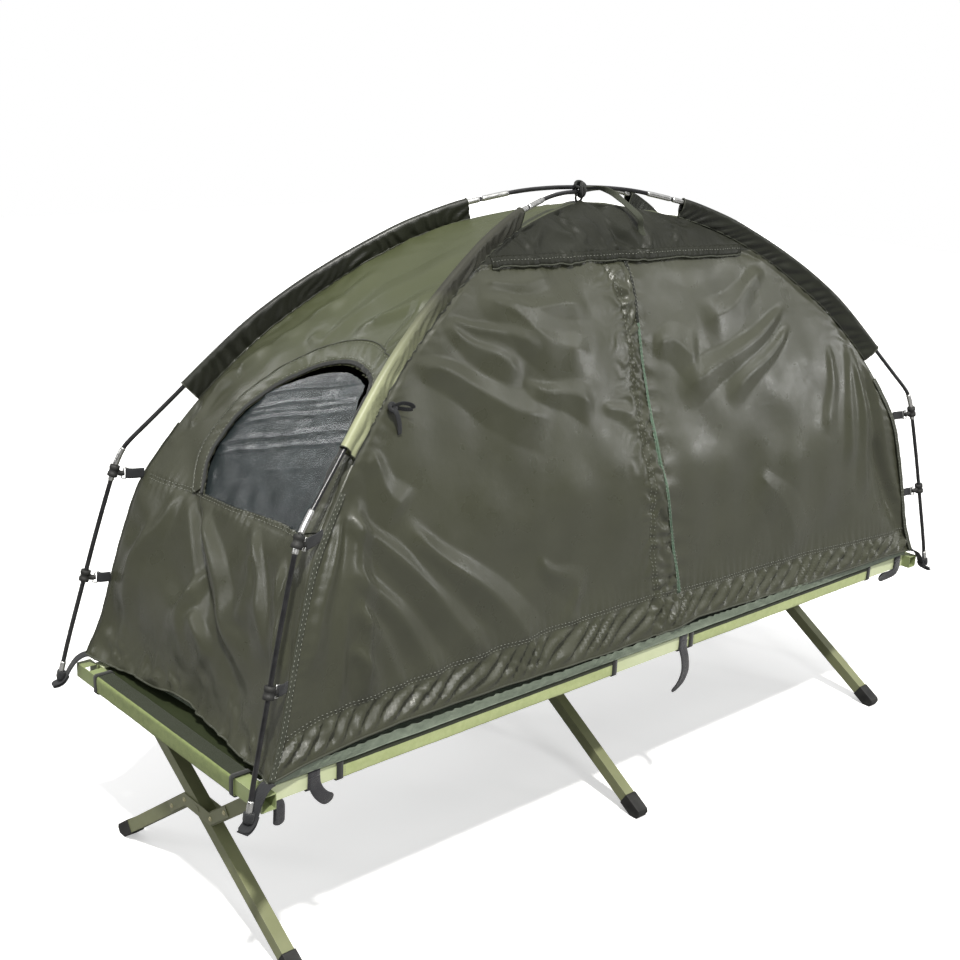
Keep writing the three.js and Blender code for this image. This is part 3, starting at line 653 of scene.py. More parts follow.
def side_relief(x, z, seed, door):
    """How far the long wall's cloth stands out of its smooth shape, at x and z."""
    p = np.stack([x, z], 1)
    edge = TIP[0] * place_at(z) - np.abs(x)
    d = 0.0045 * noise(p * [1, 1.6], 0.42, seed) + 0.0012 * noise(p, 0.13, seed + 1)
    d += sum(crease(x if door else -x, z, row) for row in NEAR_CREASES)
    # Crumpled cloth above the flap
    top = step(z, 1.13, 1.165)
    q = shaken(p, 0.02, 0.09, seed + 2)
    d += top * crumple(q, 0.6, 0.085, 0.0022, 0.035, seed + 4)
    # Short puckers along the corner seams
    pucker = wave(z * 1.25 + 0.2 * x, 0.030, 2.2 * noise(p, 0.10, seed + 6))
    d += 0.0013 * pucker * np.exp(-edge / 0.022) * step(edge, 0, 0.008)
    hem, low = np.interp(x, *HEM_SEAM.T), np.interp(x, *HEM_LOW.T)
    inside = np.clip((z - low) / (hem - low), 0, 2)
    band = step(inside, 0.02, 0.35) * (1 - step(inside, 0.80, 1.02))
    lean = 1.0 if door else -1.0
    phase = (x - lean * 0.95 * (z - low)) / 0.041 + 0.35 * noise(p, 0.20, seed + 7)
    d += band * (0.0074 * zigzag(phase, 0.6) + 0.0014 * noise(q, 0.03, seed + 8))
    above = step(inside, 1.0, 1.1) * np.exp(-np.maximum(z - hem, 0) / 0.022)
    d += above * 0.0018 * wave(x, 0.019, 3 * noise(p, 0.12, seed + 9))
    d -= 0.0028 * bell(z - hem, 0.0045)
    if door:
        flap = np.interp(x, *FLAP_Z.T)
        d += -0.007 * step(flap - z, -0.003, 0.003) * np.exp(-np.maximum(flap - z, 0) / 0.03)
        d += 0.0012 * wave(x, 0.015, 2 * noise(p, 0.1, 31)) * np.exp(-np.abs(z - flap - 0.008) / 0.012)
        zip_x, seam_x = place_at(z, ZIP), place_at(z, DOOR_SEAM)
        across = (x - seam_x) / (zip_x - seam_x)
        flat = step(across, -0.15, 0.2) * (1 - step(across, 0.8, 1.1)) * step(flap - z, 0, 0.02)
        ridges = 0.0034 * (1 - 2 * np.abs(noise(q * [1.6, 1], 0.05, 33)))
        d += flat * (0.003 + ridges + 0.0018 * zigzag((z + 0.5 * x) / 0.028 + noise(p, 0.09, 36)))
        near_seam = np.exp(-np.abs(x - seam_x) / 0.020) * step(flap - z, 0, 0.03)
        d += near_seam * 0.0030 * zigzag((z - 0.3 * x) / 0.024 + 0.9 * noise(p, 0.07, 34))
        d -= 0.0030 * bell(x - seam_x, 0.004) * step(flap - z, 0, 0.02)
        near_zip = np.exp(-np.maximum(x - zip_x, 0) / 0.025) * step(x, zip_x - 0.004, zip_x + 0.006)
        d += near_zip * 0.002 * wave(z, 0.05, 2 * noise(p, 0.15, 35)) * step(flap - z, 0, 0.03)
    else:
        d += 0.003 * noise(p * [1, 0.5], 0.10, seed + 12) * step(1.1 - z, 0, 0.2)
    return d * step(edge, 0.0, 0.016) - 0.010 * (1 - (x / (TIP[0] * place_at(z))) ** 2) * step(1.24 - z, 0, 0.25)


def end_relief(y, z, seed, window):
    """The same for an end, at y and z."""
    p = np.stack([y, z], 1)
    half = TIP[1] * place_at(z)
    edge = half - np.abs(y)
    q = shaken(p, 0.018, 0.08, seed + 2)
    d = 0.005 * noise(p * [1.3, 1], 0.30, seed) + 0.0018 * noise(p, 0.09, seed + 1)
    if window:
        d += sum(crease(y, z, row) for row in HEAD_CREASES)
    else:
        d += sum(crease(-y, z, row) for row in HEAD_CREASES if row[1] < 0.76)
        d += sum(crease(y, z - 0.2, row) * 0.7 for row in HEAD_CREASES[3:10])
    seam = 0.757 - 0.04 * y
    d -= 0.0025 * bell(z - seam, 0.004)
    d += 0.0012 * wave(y, 0.017, 2 * noise(p, 0.1, seed + 4)) * np.exp(-np.abs(z - seam) / 0.014)
    low = 1 - step(z, 0.40, 0.52)
    d += low * crumple(q, 0.5, 0.075, 0.0024, 0.028, seed + 5)
    side = np.exp(-edge / 0.03) * step(edge, 0, 0.008) * step(z, 0.78, 0.84)
    d += side * 0.0026 * zigzag((z + 0.4 * y) / 0.032 + 0.6 * noise(p, 0.08, seed + 7))
    slack = 0.007 * step(1.24 - z, 0, 0.2) + 0.030 * (1 - step(z, 0.40, 0.58))
    return d * step(edge, 0.0, 0.014) - slack * (1 - (y / half) ** 2)


def make_canopy():
    rows, side_cols, end_cols = 220, 300, 96
    line = smooth_line(SEAM_LINE, rows)
    normal = np.stack([-np.gradient(line[:, 1]), np.gradient(line[:, 0])], 1)
    walls, starts = [], [0]
    for is_side, sign, way in ((True, -1, 1), (False, 1, 1), (True, 1, -1), (False, -1, -1)):
        cols = side_cols if is_side else end_cols
        a = np.linspace(-1, 1, cols, endpoint=False)[None, :] * way
        z = line[:, 1:] + 0 * a
        if is_side:
            low = np.interp(a * TIP[0] * 0.95, *HEM_LOW.T) if sign < 0 else 0.412 + 0 * a
            lift = (low - 0.402) * (1 - np.abs(a) ** 24)
        else:
            lift = np.clip(0.005 * np.sin(5 * a + 1.0) + 0.003 * np.sin(13 * a), -0.004, 0.012) * (1 - np.abs(a) ** 12)
            lift = lift + 0.014 * (1 - a**2)
        z = z + lift * np.clip((0.50 - z) / 0.098, 0, 1) ** 1.5
        share, n = place_at(z, line), sample(normal, -line[:, 1], -z)
        if is_side:
            x, y = a * TIP[0] * share, sign * TIP[1] * share
            out = xyz(0.0, sign * n[..., 0], n[..., 1] * TIP[1])
            d = side_relief(x.ravel(), z.ravel(), 3 if sign < 0 else 40, sign < 0)
        else:
            x, y = sign * TIP[0] * share, a * TIP[1] * share
            out = xyz(sign * n[..., 0], 0.0, n[..., 1] * TIP[0])
            d = end_relief(y.ravel(), z.ravel(), 80 if sign < 0 else 120, sign < 0)
        walls.append(xyz(x, y, z) + unit(out) * d.reshape(x.shape)[..., None])
        starts.append(starts[-1] + cols)
    grid = np.concatenate(walls, 1)
    cols = grid.shape[1]
    # Cut the window out: grid points beside its edge move onto it, and faces inside it go
    flat = grid.reshape(-1, 3)
    edge = np.vstack([smooth_line(WINDOW, 160), np.linspace(WINDOW[-1], WINDOW[0], 60)[1:-1]])
    is_head = (np.arange(len(flat)) % cols) > starts[3]
    index = np.nonzero(is_head & (flat[:, 2] > 0.70) & (flat[:, 2] < 1.04))[0]
    gap = np.linalg.norm(flat[index][:, None, 1:] - edge[None], axis=2)
    inside = in_outline(flat[index][:, 1:], edge)
    move = gap.min(1) < 0.0052
    flat[index[move], 1:] = edge[gap.argmin(1)][move]
    is_in = np.zeros(len(flat), bool)
    is_in[index] = inside & ~move
    faces = []
    for face in grid_faces(rows, cols, wrap=True):
        f = np.array(face)
        middle = flat[f].mean(0)
        cut = is_head[f].all() and 0.74 < middle[2] < 1.0 and in_outline(middle[None, 1:], edge)[0]
        if not (is_in[f].any() or cut):
            faces.append(face)
    top = len(flat)
    uv = np.vstack([ring_uv(grid), [[0, 0]]])
    points = np.vstack([flat, [[0, 0, 1.2412]]])
    faces += [(j, top, (j + 1) % cols) for j in range(cols)]
    made = piece("tent_canopy", points, faces, "tent", uv, slot="tent_cloth",
                 replaces=("tent_wall_near", "tent_wall_far", "tent_end_head", "tent_end_foot"))
    # The door's wall is coloured darker above its flap
    made.data.materials.append(MATS["crown"])
    for face in made.data.polygons:
        x, y, z = face.center
        face.material_index = int(y < 0 and -y * TIP[0] > abs(x) * TIP[1] and z > np.interp(x, *FLAP_Z.T) + 0.002)
    corners = dict(zip(("near_head", "near_foot", "far_foot", "far_head"), starts))
    seams = {name: grid[:, col] for name, col in corners.items()}
    hem = np.vstack([grid[-1], grid[-1][:1]])
    return made, seams, hem, edge, BVHTree.FromPolygons(points.tolist(), faces)


def in_outline(points, outline):
    inside = np.zeros(len(points), bool)
    for (y0, z0), (y1, z1) in zip(outline, np.roll(outline, 1, axis=0)):
        cross = (z0 > points[:, 1]) != (z1 > points[:, 1])
        with np.errstate(divide="ignore", invalid="ignore"):
            at = (y1 - y0) * (points[:, 1] - z0) / (z1 - z0) + y0
        inside ^= cross & (points[:, 0] < at)
    return inside


def skin(points, lift, sign=-1, end=False):
    """Points on the canopy and its normals there, under (x, z) of a long wall or (y, z) of an end."""
    axis, far = (0, 1.5) if end else (1, 1.0)
    way = Vector(np.insert((0.0, 0.0), axis, -sign))
    found, normals, last = [], [], None
    for p in points:
        hit, normal, _, _ = CANOPY_TREE.ray_cast(Vector(np.insert(p, axis, sign * far)), way)
        if hit is None or (last and (hit - last[0]).length > 0.25):
            hit, normal = last or (Vector((0, 0, 1.2)), -way)
        last = (hit, -normal if normal.dot(way) > 0 else normal)
        found.append(last[0])
        normals.append(last[1])
    found, normals = np.array(found), np.array(normals)
    if len(normals) > 8:
        padded = np.vstack([normals[:1]] * 2 + [normals] + [normals[-1:]] * 2)
        normals = unit(np.stack([np.convolve(column, np.ones(5) / 5, "valid") for column in padded.T], 1))
    return found + normals * np.reshape(lift, (-1, 1)), normals


def make_wall_trims():
    hem = smooth_line(HEM_SEAM, 420)
    stitches("stitches_hem", [skin(offset(hem, off), 0.0006, sign) for sign in (-1, 1) for off in (0.0, 0.0075)])
    seam = smooth_line(DOOR_SEAM, 260)
    stitches("stitches_door", [skin(offset(seam, off), 0.0006) for off in (0.0, 0.007)])

    line = smooth_line(ZIP, 240)
    p, n = skin(line, 0.0016)
    p, n = smooth_line(p[::16], len(p)), unit(smooth_line(n[::16], len(n)))
    ribbon("door_zip_tape", p, np.cross(n, tangents(p)), 0.009, 0.0012, "zip")
    tube("door_zip_teeth", p + n * 0.0010, 0.0014 + 0.0004 * np.sign(np.sin(np.arange(len(p)) * 2.1)), "zip", n=8)
    stitches("stitches_zip", [skin(offset(line, off), 0.0022) for off in (-0.0042, 0.0042)])

    # Flap over the head of the door, bound along its lower edge
    flap = smooth_line(FLAP_Z, 220)
    flap = flap[np.abs(flap[:, 0]) < TIP[0] * place_at(flap[:, 1] + 0.014) - 0.004]
    inset = TIP[0] * place_at(flap[:, 1] + 0.014) - np.abs(flap[:, 0])
    bands = []
    for drop, lift in ((0.014, 0.0006), (0.010, 0.0012), (0.006, 0.0020), (0.0, 0.0030), (-0.006, 0.0036)):
        wobble = 0.0012 * np.sin(flap[:, 0] / 0.0024) * (drop / 0.014)
        p, _ = skin(flap + [0, max(drop, 0.002)], (lift + wobble) * step(inset, 0, 0.03) + 0.0006)
        p[:, 2] += min(drop - 0.002, 0)
        bands.append(p)
    thicken(sheet_piece("door_flap", np.stack(bands), "crown", slot="tent_cloth"), 0.0010)
    tube("door_flap_edge", bands[-1], 0.0019, "trim", n=8)
    stitches("stitches_flap", [(bands[2] + [0, -0.0012, 0], np.tile([0.0, -1, 0.2], (len(flap), 1)))])

    # Seam across each end, level with the window's sill
    half = TIP[1] * place_at(0.757) - 0.006
    y = np.linspace(-half, half, 200)
    for name, sign in ENDS.items():
        stitches(f"stitches_end_{name}",
                 [skin(xyz(y, 0.757 - 0.04 * y + off), 0.0006, sign, end=True) for off in (-0.003, 0.003)])


# The window's facing, by distance from the opening and height off the tent; its film's folds, by height, width above
# the ridge, and size. In millimetres
FACING = ((3, 1.6), (9, 2.8), (15, 3.4), (21, 3.6), (27, 3.4), (33, 2.8), (38, 2.0), (40, 0.4))
FILM_FOLDS = ((968, 6, 0.6), (944, 7, 0.8), (921, 6, 0.8), (910, 9, 0.5), (897, 7, 1.0), (866, 9, 1.1), (848, 7, 1.0),
              (812, 22, 0.4))


def make_window(edge):
    arc = smooth_line(WINDOW, 200)
    out = offset(arc, 1.0) - arc
    centre = WINDOW.mean(0)
    if ((arc + 0.01 * out - centre) ** 2).sum() < ((arc - centre) ** 2).sum():
        out = -out
    # Flat facing round the arc, and the bound edge of the opening
    high = arc[:, 1] > 0.766
    run = run_of(arc)[high]
    bands = []
    for k, (width, lift) in enumerate(np.array(FACING) / 1000):
        pucker = zigzag(run / 0.019 + 0.25 * k + 0.5 * noise(run[:, None], 0.1, 55)) * (1 - abs(width - 0.020) / 0.03)
        ring = (arc + width * out)[high]
        limit = TIP[1] * place_at(ring[:, 1]) - 0.006
        ring[:, 0] = np.clip(ring[:, 0], -limit, limit)
        bands.append(skin(ring, lift + 0.0016 * pucker * step(arc[high, 1], 0.79, 0.84), end=True)[0])
    sheet_piece("window_facing", np.stack(bands), "tent", slot="tent_cloth")
    p, n = skin(arc + 0.0045 * out, 0.0022, end=True)
    ribbon("window_binding", p, np.cross(n, tangents(p)), 0.008, 0.0022, "band")
    tube("window_facing_welt", smooth_line(bands[-2], 200), 0.0017, "trim", n=8)
    stitches("stitches_window", [skin((arc + w * out)[high], 0.0038, end=True) for w in (0.010, 0.034)])
    # Film, hung a little behind the opening, in slack level folds
    lo, hi = WINDOW.min(0) - 0.010, WINDOW.max(0) + 0.008
    shape, p, y, z = flat_grid(np.linspace(lo[0], hi[0], 120), np.linspace(hi[1], lo[1], 150))
    # Each fold climbs towards the corner the tent leans to, is wide above its ridge and steep below it
    level = z + 0.28 * y + 0.1 * (y + 0.03) ** 2 + 0.0025 * noise(p, 0.22, 57)
    folds = 0.0
    for height, wide, size in FILM_FOLDS:
        off = level - height / 1000 - 0.0015 * noise(p, 0.12, int(height * 0.9))
        one = np.clip(np.minimum(1 - off * 1000 / wide, 1 + off / 0.005), 0, None)
        folds = folds + size * one * (0.75 + 0.25 * noise(p, 0.16, int(height * 0.7)))
    dx = 0.0034 * folds * step(z, 0.765, 0.80) - 0.004 * step(z, 0.95, 0.99) + 0.001 * noise(p, 0.05, 5)
    points = xyz(-TIP[0] * place_at(z) + 0.011 - np.clip(dx, -0.008, 0.008), y, z)
    # The film hangs a little below the head of the opening, so a dark gap shows there
    reach = np.array([np.linalg.norm(edge - q, axis=1).min() for q in p])
    inside, slack = in_outline(p, edge), 0.010 * step(z, 0.925, 0.96)
    keep = np.where(slack > 0.001, inside & (reach > slack), inside | (reach < 0.012))
    faces = [f for f in grid_faces(*shape) if keep[list(f)].all()]
    return piece("window_film_sheet", points, faces, "film", grid_uv(points.reshape(*shape, 3)),
                 replaces="tent_window", slot="window_film")


def make_corner_seams(seams, hem):
    rows = []
    for name, sx, sy in CORNERS:
        run = seams[name][seams[name][:, 2] < 0.838]
        ridge = unit(np.array([sx, sy, 0.25]))
        # Seam turned to the long side, with its edge standing a little proud
        side = np.array([-sx, 0.0, 0.0])
        path = smooth_line(run + ridge * 0.0012 + side * 0.006, 90)
        path[:, 1] += sy * 0.0012
        path[:, 1] += 0.0004 * np.sin(path[:, 2] / 0.006)
        ribbon(f"corner_seam_{name}", path, side, 0.012, 0.0014, "trim")
        for off in (0.002, 0.0095):
            rows.append((smooth_line(run + side * off + [0, sy * 0.0032, 0], 120), np.tile([0.0, sy, 0.0], (120, 1))))
    stitches("stitches_corners", rows)
    # Bound hem right round the foot of the canopy
    tube("hem_binding", smooth_line(hem, 900), 0.0022, "trim", n=8)


# --- Poles
POLE_SMOOTH = smooth_line(POLE_LINE, 400)


def pole_point(share, sx, sy):
    share = np.asarray(share, float)
    dip = (POLE_DROP if sx * sy > 0 else 0.0) * np.maximum(0, 1 - share / 0.3) ** 2
    return xyz(sx * TIP[0] * share, sy * TIP[1] * share, np.interp(share, *POLE_SMOOTH.T) - dip)


def level_across(sx, sy):
    return unit(np.array([-sy * TIP[1], sx * TIP[0], 0.0]))


def pole_share(z):
    return float(place_at(z, POLE_SMOOTH))


def make_poles():
    shares = POLE_SMOOTH[::2, 0]
    for name, (a, b) in {"lower": ((-1, -1), (1, 1)), "upper": ((1, -1), (-1, 1))}.items():
        line = smooth_line(np.vstack([pole_point(shares[::-1], *a), pole_point(shares[1:], *b)]), 420)
        tube(f"pole_{name}_rod", line, POLE_R, "rod", n=14, replaces=f"pole_{name}", slot="pole_rod")
    radius = np.full(14, POLE_R + 0.0011)
    radius[[0, -1]], radius[[1, -2]] = POLE_R + 0.0004, POLE_R + 0.0012
    parts = []
    for name, sx, sy in CORNERS:
        elbow = CLIP_Z[name]["high"]
        spans = [(0.150, 0.205), (0.2095, 0.246)]
        heights = ((elbow + 0.042, elbow + 0.010), (elbow - 0.006, elbow - 0.018), (0.393, 0.366))
        spans += [(pole_share(high), pole_share(low)) for high, low in heights]
        parts += [swept(tube_loops(pole_point(np.linspace(a, b, 14), sx, sy), radius, 14)) for a, b in spans]
    several("pole_ferrules", parts, "ferrule")


def make_pole_sleeves(seams):
    """Each sleeve is two walls from the corner seam, joined by a round top over the pole."""
    r, down, over = 0.0082, np.linspace(0, 1, 9), np.linspace(0, np.pi, 9)[1:-1]
    for name, sx, sy in CORNERS:
        line = pole_point(np.linspace(*SLEEVE_SHARE, 150), sx, sy)
        along = tangents(line)
        level = level_across(sx, sy)
        up = unit(np.cross(along, level))
        up *= np.sign(up[:, 2:])
        seam = smooth_line(seams[name], 700)
        foot = np.array([seam[np.abs((seam - p) @ t).argmin()] for p, t in zip(line, along)])
        deep, drift = ((line - foot) * up).sum(1), (foot - line) @ level
        run, seed = run_of(line), sx + 2 * sy

        def wall(sign, t):
            a = sign * (r * (1 - t) ** 0.8 + 0.0012 * t) + drift * t
            b = -t * (deep - 0.001)
            q = xyz(run, t * 0.03 + (0.3 if sign > 0 else 0))
            fold = 0.0042 * zigzag((run + 0.9 * b * sign) / 0.030 + 0.7 * noise(q, 0.12, 50 + seed), 0.7)
            fold += 0.0020 * noise(q, 0.07, 60 + seed)
            return a + sign * fold * (0.25 + 0.75 * t) * (1 - t**6 * 0.6), b

        sections = [wall(1, t) for t in down[::-1]]
        sections += [(r * np.cos(t) + 0 * run, r * np.sin(t) + 0 * run) for t in over]
        sections += [wall(-1, t) for t in down]
        sleeve = np.stack([line + level * a[:, None] + up * b[:, None] for a, b in sections], 1)
        # The near-head sleeve takes the copy of the cloth with the painted light
        sheet_piece(f"sleeve_of_pole_{name}", sleeve, "sleeve_painted_light" if name == "near_head" else "sleeve_dark",
                    replaces=f"pole_sleeve_{name}", slot="tent_cloth")
        # Bound mouths, and a cord-like seam where the sleeve is sewn to the canopy
        rims = [tube_loops(smooth_line(sleeve[i], 60), 0.0012, 8) for i in (0, -1)]
        rims += [tube_loops(smooth_line(sleeve[:, i], 200), 0.0011, 6) for i in (0, -1)]
        several(f"sleeve_edges_{name}", [swept(rim) for rim in rims], "trim")


def make_hub():
    """Cord bound over the crossing, and its two legs down to the peak of the canopy."""
    t = np.linspace(0, 2 * np.pi, 40)
    tubes = []
    for tilt, lift in ((0.6, 0.0), (2.1, 0.001), (1.3, -0.002)):
        way = np.array([math.cos(tilt), math.sin(tilt), 0])
        loop = (np.array([0, 0, 1.2655 + lift]) + np.outer(np.cos(t) * 0.0115, way)
                + np.outer(np.sin(t) * 0.0125, [0, 0, 1]))
        tubes.append((loop + np.outer(np.sin(t / 2) * 0.006, np.cross(way, [0, 0, 1])), 0.0030))
    for s in (-1, 1):
        leg = [[0.008 * s, 0.004 * s, 1.262], [0.015 * s, 0.006 * s, 1.254], [0.013 * s, 0.005 * s, 1.246],
               [0.003 * s, 0.001 * s, 1.2405]]
        tubes.append((smooth_line(leg, 26), 0.0022))
    over = np.array([-0.004, -0.003, 1.276]) + xyz(np.cos(t) * 0.012, np.sin(t) * 0.003, np.sin(t) * 0.006)
    tubes.append((over, 0.0022))
    several("hub_knot", [swept(tube_loops(line, radius, 10)) for line, radius in tubes], "band",
            replaces="pole_hub", slot="webbing")


def make_tape():
    """A tape tied to the hub that hangs over the head of the door."""
    p, _ = skin(np.array([[0.085, 1.205], [0.088, 1.195], [0.090, 1.185]]), 0.004)
    line = smooth_line([[0.008, -0.004, 1.271], [0.030, -0.012, 1.271], [0.055, -0.028, 1.264], [0.070, -0.046, 1.250],
                        p[0] + [-0.004, -0.010, 0.012], p[1] + [0, -0.003, 0], p[2] + [0.002, -0.002, -0.010],
                        p[2] + [0.003, -0.010, -0.030]], 60)
    made = ribbon("hub_tape", line, (0.73, -0.68, 0.0), 0.012, 0.0016, "tape")


# Tapes tied round the near poles, in millimetres from the knot: lengthwise towards the middle, outwards, up
TIE_LOOP = ((0, 0, 0), (14, -10, 7), (32, -12, 2), (38, -9, -6), (26, -6, -6), (0, -1, 0))
TIE_TAIL = ((0, 0, 0), (3, -9, -8), (10, -9, -28), (13, -7, -46))


def make_ties():
    turn = np.linspace(0, 2 * np.pi, 30)
    for name, x, z, way in (("near_head", -0.640, 0.957, 1), ("near_foot", 0.688, 0.942, -1)):
        p, _ = skin(np.array([[x, z], [x + 0.02 * way, z - 0.005]]), 0.003)
        knot = p[0] + [0, -0.005, 0]
        ring = xyz(0.006 * np.cos(turn), 0.003 * np.sin(turn) - 0.002, 0.006 * np.sin(turn))
        tube(f"tie_knot_{name}", knot + ring, 0.0034, "web", n=8)
        for part, shape, n, side, width in (("loop", TIE_LOOP, 40, (0.1, -0.5, 0.86), 0.008),
                                            ("tail", TIE_TAIL, 30, (0.96, 0, 0.25), 0.009)):
            ribbon(f"tie_{part}_{name}", route(knot, shape, [way, 1, 1], n), side, width, 0.0013, "web")


COLLAR = ((-0.011, 0.0078), (-0.0105, 0.0092), (-0.004, 0.0094), (-0.003, 0.0082), (0.003, 0.0082), (0.004, 0.0094),
          (0.0105, 0.0092), (0.011, 0.0078))  # height and radius of a clip's collar


def make_clips(seams):
    t = full_turn(20)[:, None]
    for name, sx, sy in CORNERS:
        seam = smooth_line(seams[name], 700)
        for level, z in CLIP_Z[name].items():
            on_pole = pole_point(pole_share(z), sx, sy)
            along = unit(pole_point(pole_share(z - 0.012), sx, sy) - pole_point(pole_share(z + 0.012), sx, sy))
            start = seam[np.abs(seam[:, 2] - (z - 0.008)).argmin()]
            out = on_pole - start
            out = unit(out - along * (out @ along))
            across = np.cross(out, along)
            # Collar round the pole, in two lugs with a screw-like waist
            ring = np.cos(t) * out + np.sin(t) * across
            collar = np.stack([on_pole + along * h + ring * r for h, r in COLLAR])
            jaw = smooth_line([on_pole - out * 0.006, on_pole - out * 0.012 + along * 0.002, on_pole - out * 0.020], 10)
            several(f"clip_hook_{level}_{name}",
                    [swept(collar), swept(tube_loops(jaw, np.linspace(0.0055, 0.0048, 10), 10))], "rubber")
            mid = on_pole - out * min(0.021, float((on_pole - start) @ out) * 0.5)
            corners = [mid + out * 0.004 * a + along * 0.0105 * b
                       for a, b in ((-1, -1), (1, -1), (1, 1), (-1, 1), (-1, -1))]
            sides = [np.linspace(a, b, 8, endpoint=False) for a, b in zip(corners, corners[1:])]
            loop = np.vstack(sides + [corners[0]])
            tube(f"clip_ring_{level}_{name}", loop, 0.0011, "ferrule", n=8)
            tip = mid - out * 0.001
            path = smooth_line([start + out * 0.0015, start * 0.4 + tip * 0.6 + across * 0.002, tip], 24)
            ribbon(f"clip_web_{level}_{name}", path, along, 0.019, 0.0026, "web",
                   replaces=f"pole_clip_{level}_{name}", slot="webbing")


# Webbing at each corner, by share of the way out to the pole's tip, and height; and its pocket, a flattened cup, by
# height, half width and half depth. In thousandths
TONGUE = ((948, 402), (958, 401), (971, 393), (982, 378), (991, 362), (1000, 354), (1010, 350), (1016, 348.5))
TONGUE_FOLD = ((1014, 345.5), (1004, 346.5), (994, 352), (986, 364))
POCKET = ((0, 4, 2), (2, 8.5, 6), (7, 9.5, 7.8), (14, 9.8, 8), (18, 9.4, 7.8), (18.5, 7.8, 6.4), (10, 7, 6))


def make_corner_webs():
    t = full_turn(24)[:, None]
    wide = np.interp(np.linspace(0, 1, 40), [0, 0.5, 0.8, 1], [0.024, 0.022, 0.024, 0.022])
    for name, sx, sy in CORNERS:
        def out_to(places):
            u, z = np.array(places).T / 1000
            return xyz(sx * TIP[0] * u, sy * TIP[1] * u, z)

        level = level_across(sx, sy)
        # Webbing from the canopy's corner, under the pole's tip and out to a folded end
        ribbon(f"corner_tongue_{name}", smooth_line(out_to(TONGUE), 40), level, wide, 0.0024, "web", taper=0.008,
               replaces=f"corner_web_{name}", slot="webbing")
        ribbon(f"corner_fold_{name}", smooth_line(out_to(TONGUE_FOLD), 24), level, 0.022, 0.0022, "web")
        top, tip, base = out_to(((990.7, 404), (1000.7, 362), (1001.5, 356.5)))
        axis = unit(top - tip)
        front = np.cross(axis, level)
        cup = [base + axis * h + np.cos(t) * level * a + np.sin(t) * front * b for h, a, b in np.array(POCKET) / 1000]
        several(f"corner_pocket_{name}", [swept(np.stack(cup))], "web")


# --- Floor, bed and sleeves
RIM = (0.003, 0.008, 0.013, 0.018, 0.023, 0.026)  # rows of the floor's raised edge, by height


def make_floor():
    half_x, half_y = TIP[0] * 0.953 - 0.010, TIP[1] * 0.953 - 0.008
    shape, p, x, y = flat_grid(np.linspace(-half_x, half_x, 190), np.linspace(-half_y, half_y, 62))
    z = 0.3902 + 0.0012 * (1 + noise(p, 0.12, 71)) * 0.5
    # The ends draw in between the corners, as the hem above them does
    inward = 1 - 0.046 * (1 - (y / half_y) ** 2) * (np.abs(x) / half_x) ** 6
    flat = xyz(x * inward, y, z)
    index = np.arange(len(flat)).reshape(shape)
    around = np.concatenate([index[0], index[1:, -1], index[-1, -2::-1], index[-2:0:-1, 0]])
    ring = flat[around]
    at_side = np.abs(ring[:, 1]) > half_y - 1e-6
    at_end = ~at_side | (np.abs(ring[:, 0]) > half_x - 1e-6)
    out = unit(xyz(np.where(at_end, np.sign(ring[:, 0]), 0), np.where(at_side, np.sign(ring[:, 1]), 0), 0.0))
    tall = np.where(at_side, 0.74, 0.30)[:, None] * [0, 0, 1]
    run = run_of(ring)
    points, uvs, faces, lower, m = [flat], [p], grid_faces(*shape), around, len(ring)
    for k, h in enumerate(RIM):
        q = xyz(run, h)
        puff = 0.0028 * zigzag((run + 0.8 * h) / 0.024 + 0.7 * noise(q, 0.2, 72)) + 0.002 * noise(q, 0.4, 73)
        points.append(ring + out * (0.001 + puff)[:, None] * min(1, h / 0.01) + tall * h)
        uvs.append(q)
        upper = len(flat) + k * m + np.arange(m)
        faces += np.stack([lower, np.roll(lower, -1), np.roll(upper, -1), upper], 1).tolist()
        lower = upper
    return piece("floor_tray", np.vstack(points), faces, "floor", np.vstack(uvs), replaces="tent_floor",
                 slot="floor_cloth")


def rounded_ring(half, r):
    """A square section with rounded corners, six points to each."""
    points = []
    for ca, cb, start in ((1, 1, 0), (-1, 1, 1), (-1, -1, 2), (1, -1, 3)):
        for i in range(6):
            t = math.pi / 2 * (start + i / 5)
            points.append((ca * (half - r) + r * math.cos(t), cb * (half - r) + r * math.sin(t)))
    return np.array(points)


def sleeve_ring(name, axis, centre, span, grow, look, body, wrinkle, seed, **more):
    """A loop of cloth round a square tube along axis 0 or 1, with soft corners."""
    corners = rounded_ring(RAIL / 2 + grow, 0.004)
    section = []
    for a, b in zip(corners, np.roll(corners, -1, axis=0)):
        k = max(1, int(np.linalg.norm(b - a) / 0.004))
        section += [a + (b - a) * i / k for i in range(k)]
    section = np.array(section)
    n = max(3, int((span[1] - span[0]) / 0.008))
    s, m = np.meshgrid(np.linspace(*span, n), np.arange(len(section)), indexing="ij")
    s, m = s.ravel(), m.ravel()
    p = np.column_stack([s, section[m]])
    lift = wrinkle * (0.5 + 0.5 * noise(p * [1, 3, 3], 0.09, seed)) + 0.35 * wrinkle * noise(p, 0.02, seed + 1)
    cross = section[m] + unit(section)[m] * np.clip(lift, 0, 2 * wrinkle)[:, None] + centre
    points = np.insert(cross, axis, s, axis=1)
    uv = ring_uv(points.reshape(n, len(section), 3))
    thicken(piece(name, points, grid_faces(n, len(section), wrap=True), look, uv, body, **more), 0.0012, -1)


def bound_sleeve(name, band, axis, centre, span, look, body, seed, bind, band_seed, cad):
    """A sleeve with a black band bound over each end."""
    sleeve_ring(name, axis, centre, span, 0.0020, look, body, 0.0007, seed, replaces=cad, slot="sleeve_cloth")
    for k, (end, s) in enumerate(zip(span, (1, -1))):
        low, high = sorted((end - s * 0.001, end + s * bind))
        sleeve_ring(f"{band}_{'ab'[k]}", axis, centre, (low, high), 0.0036, "band", body, 0.0003, band_seed + k)


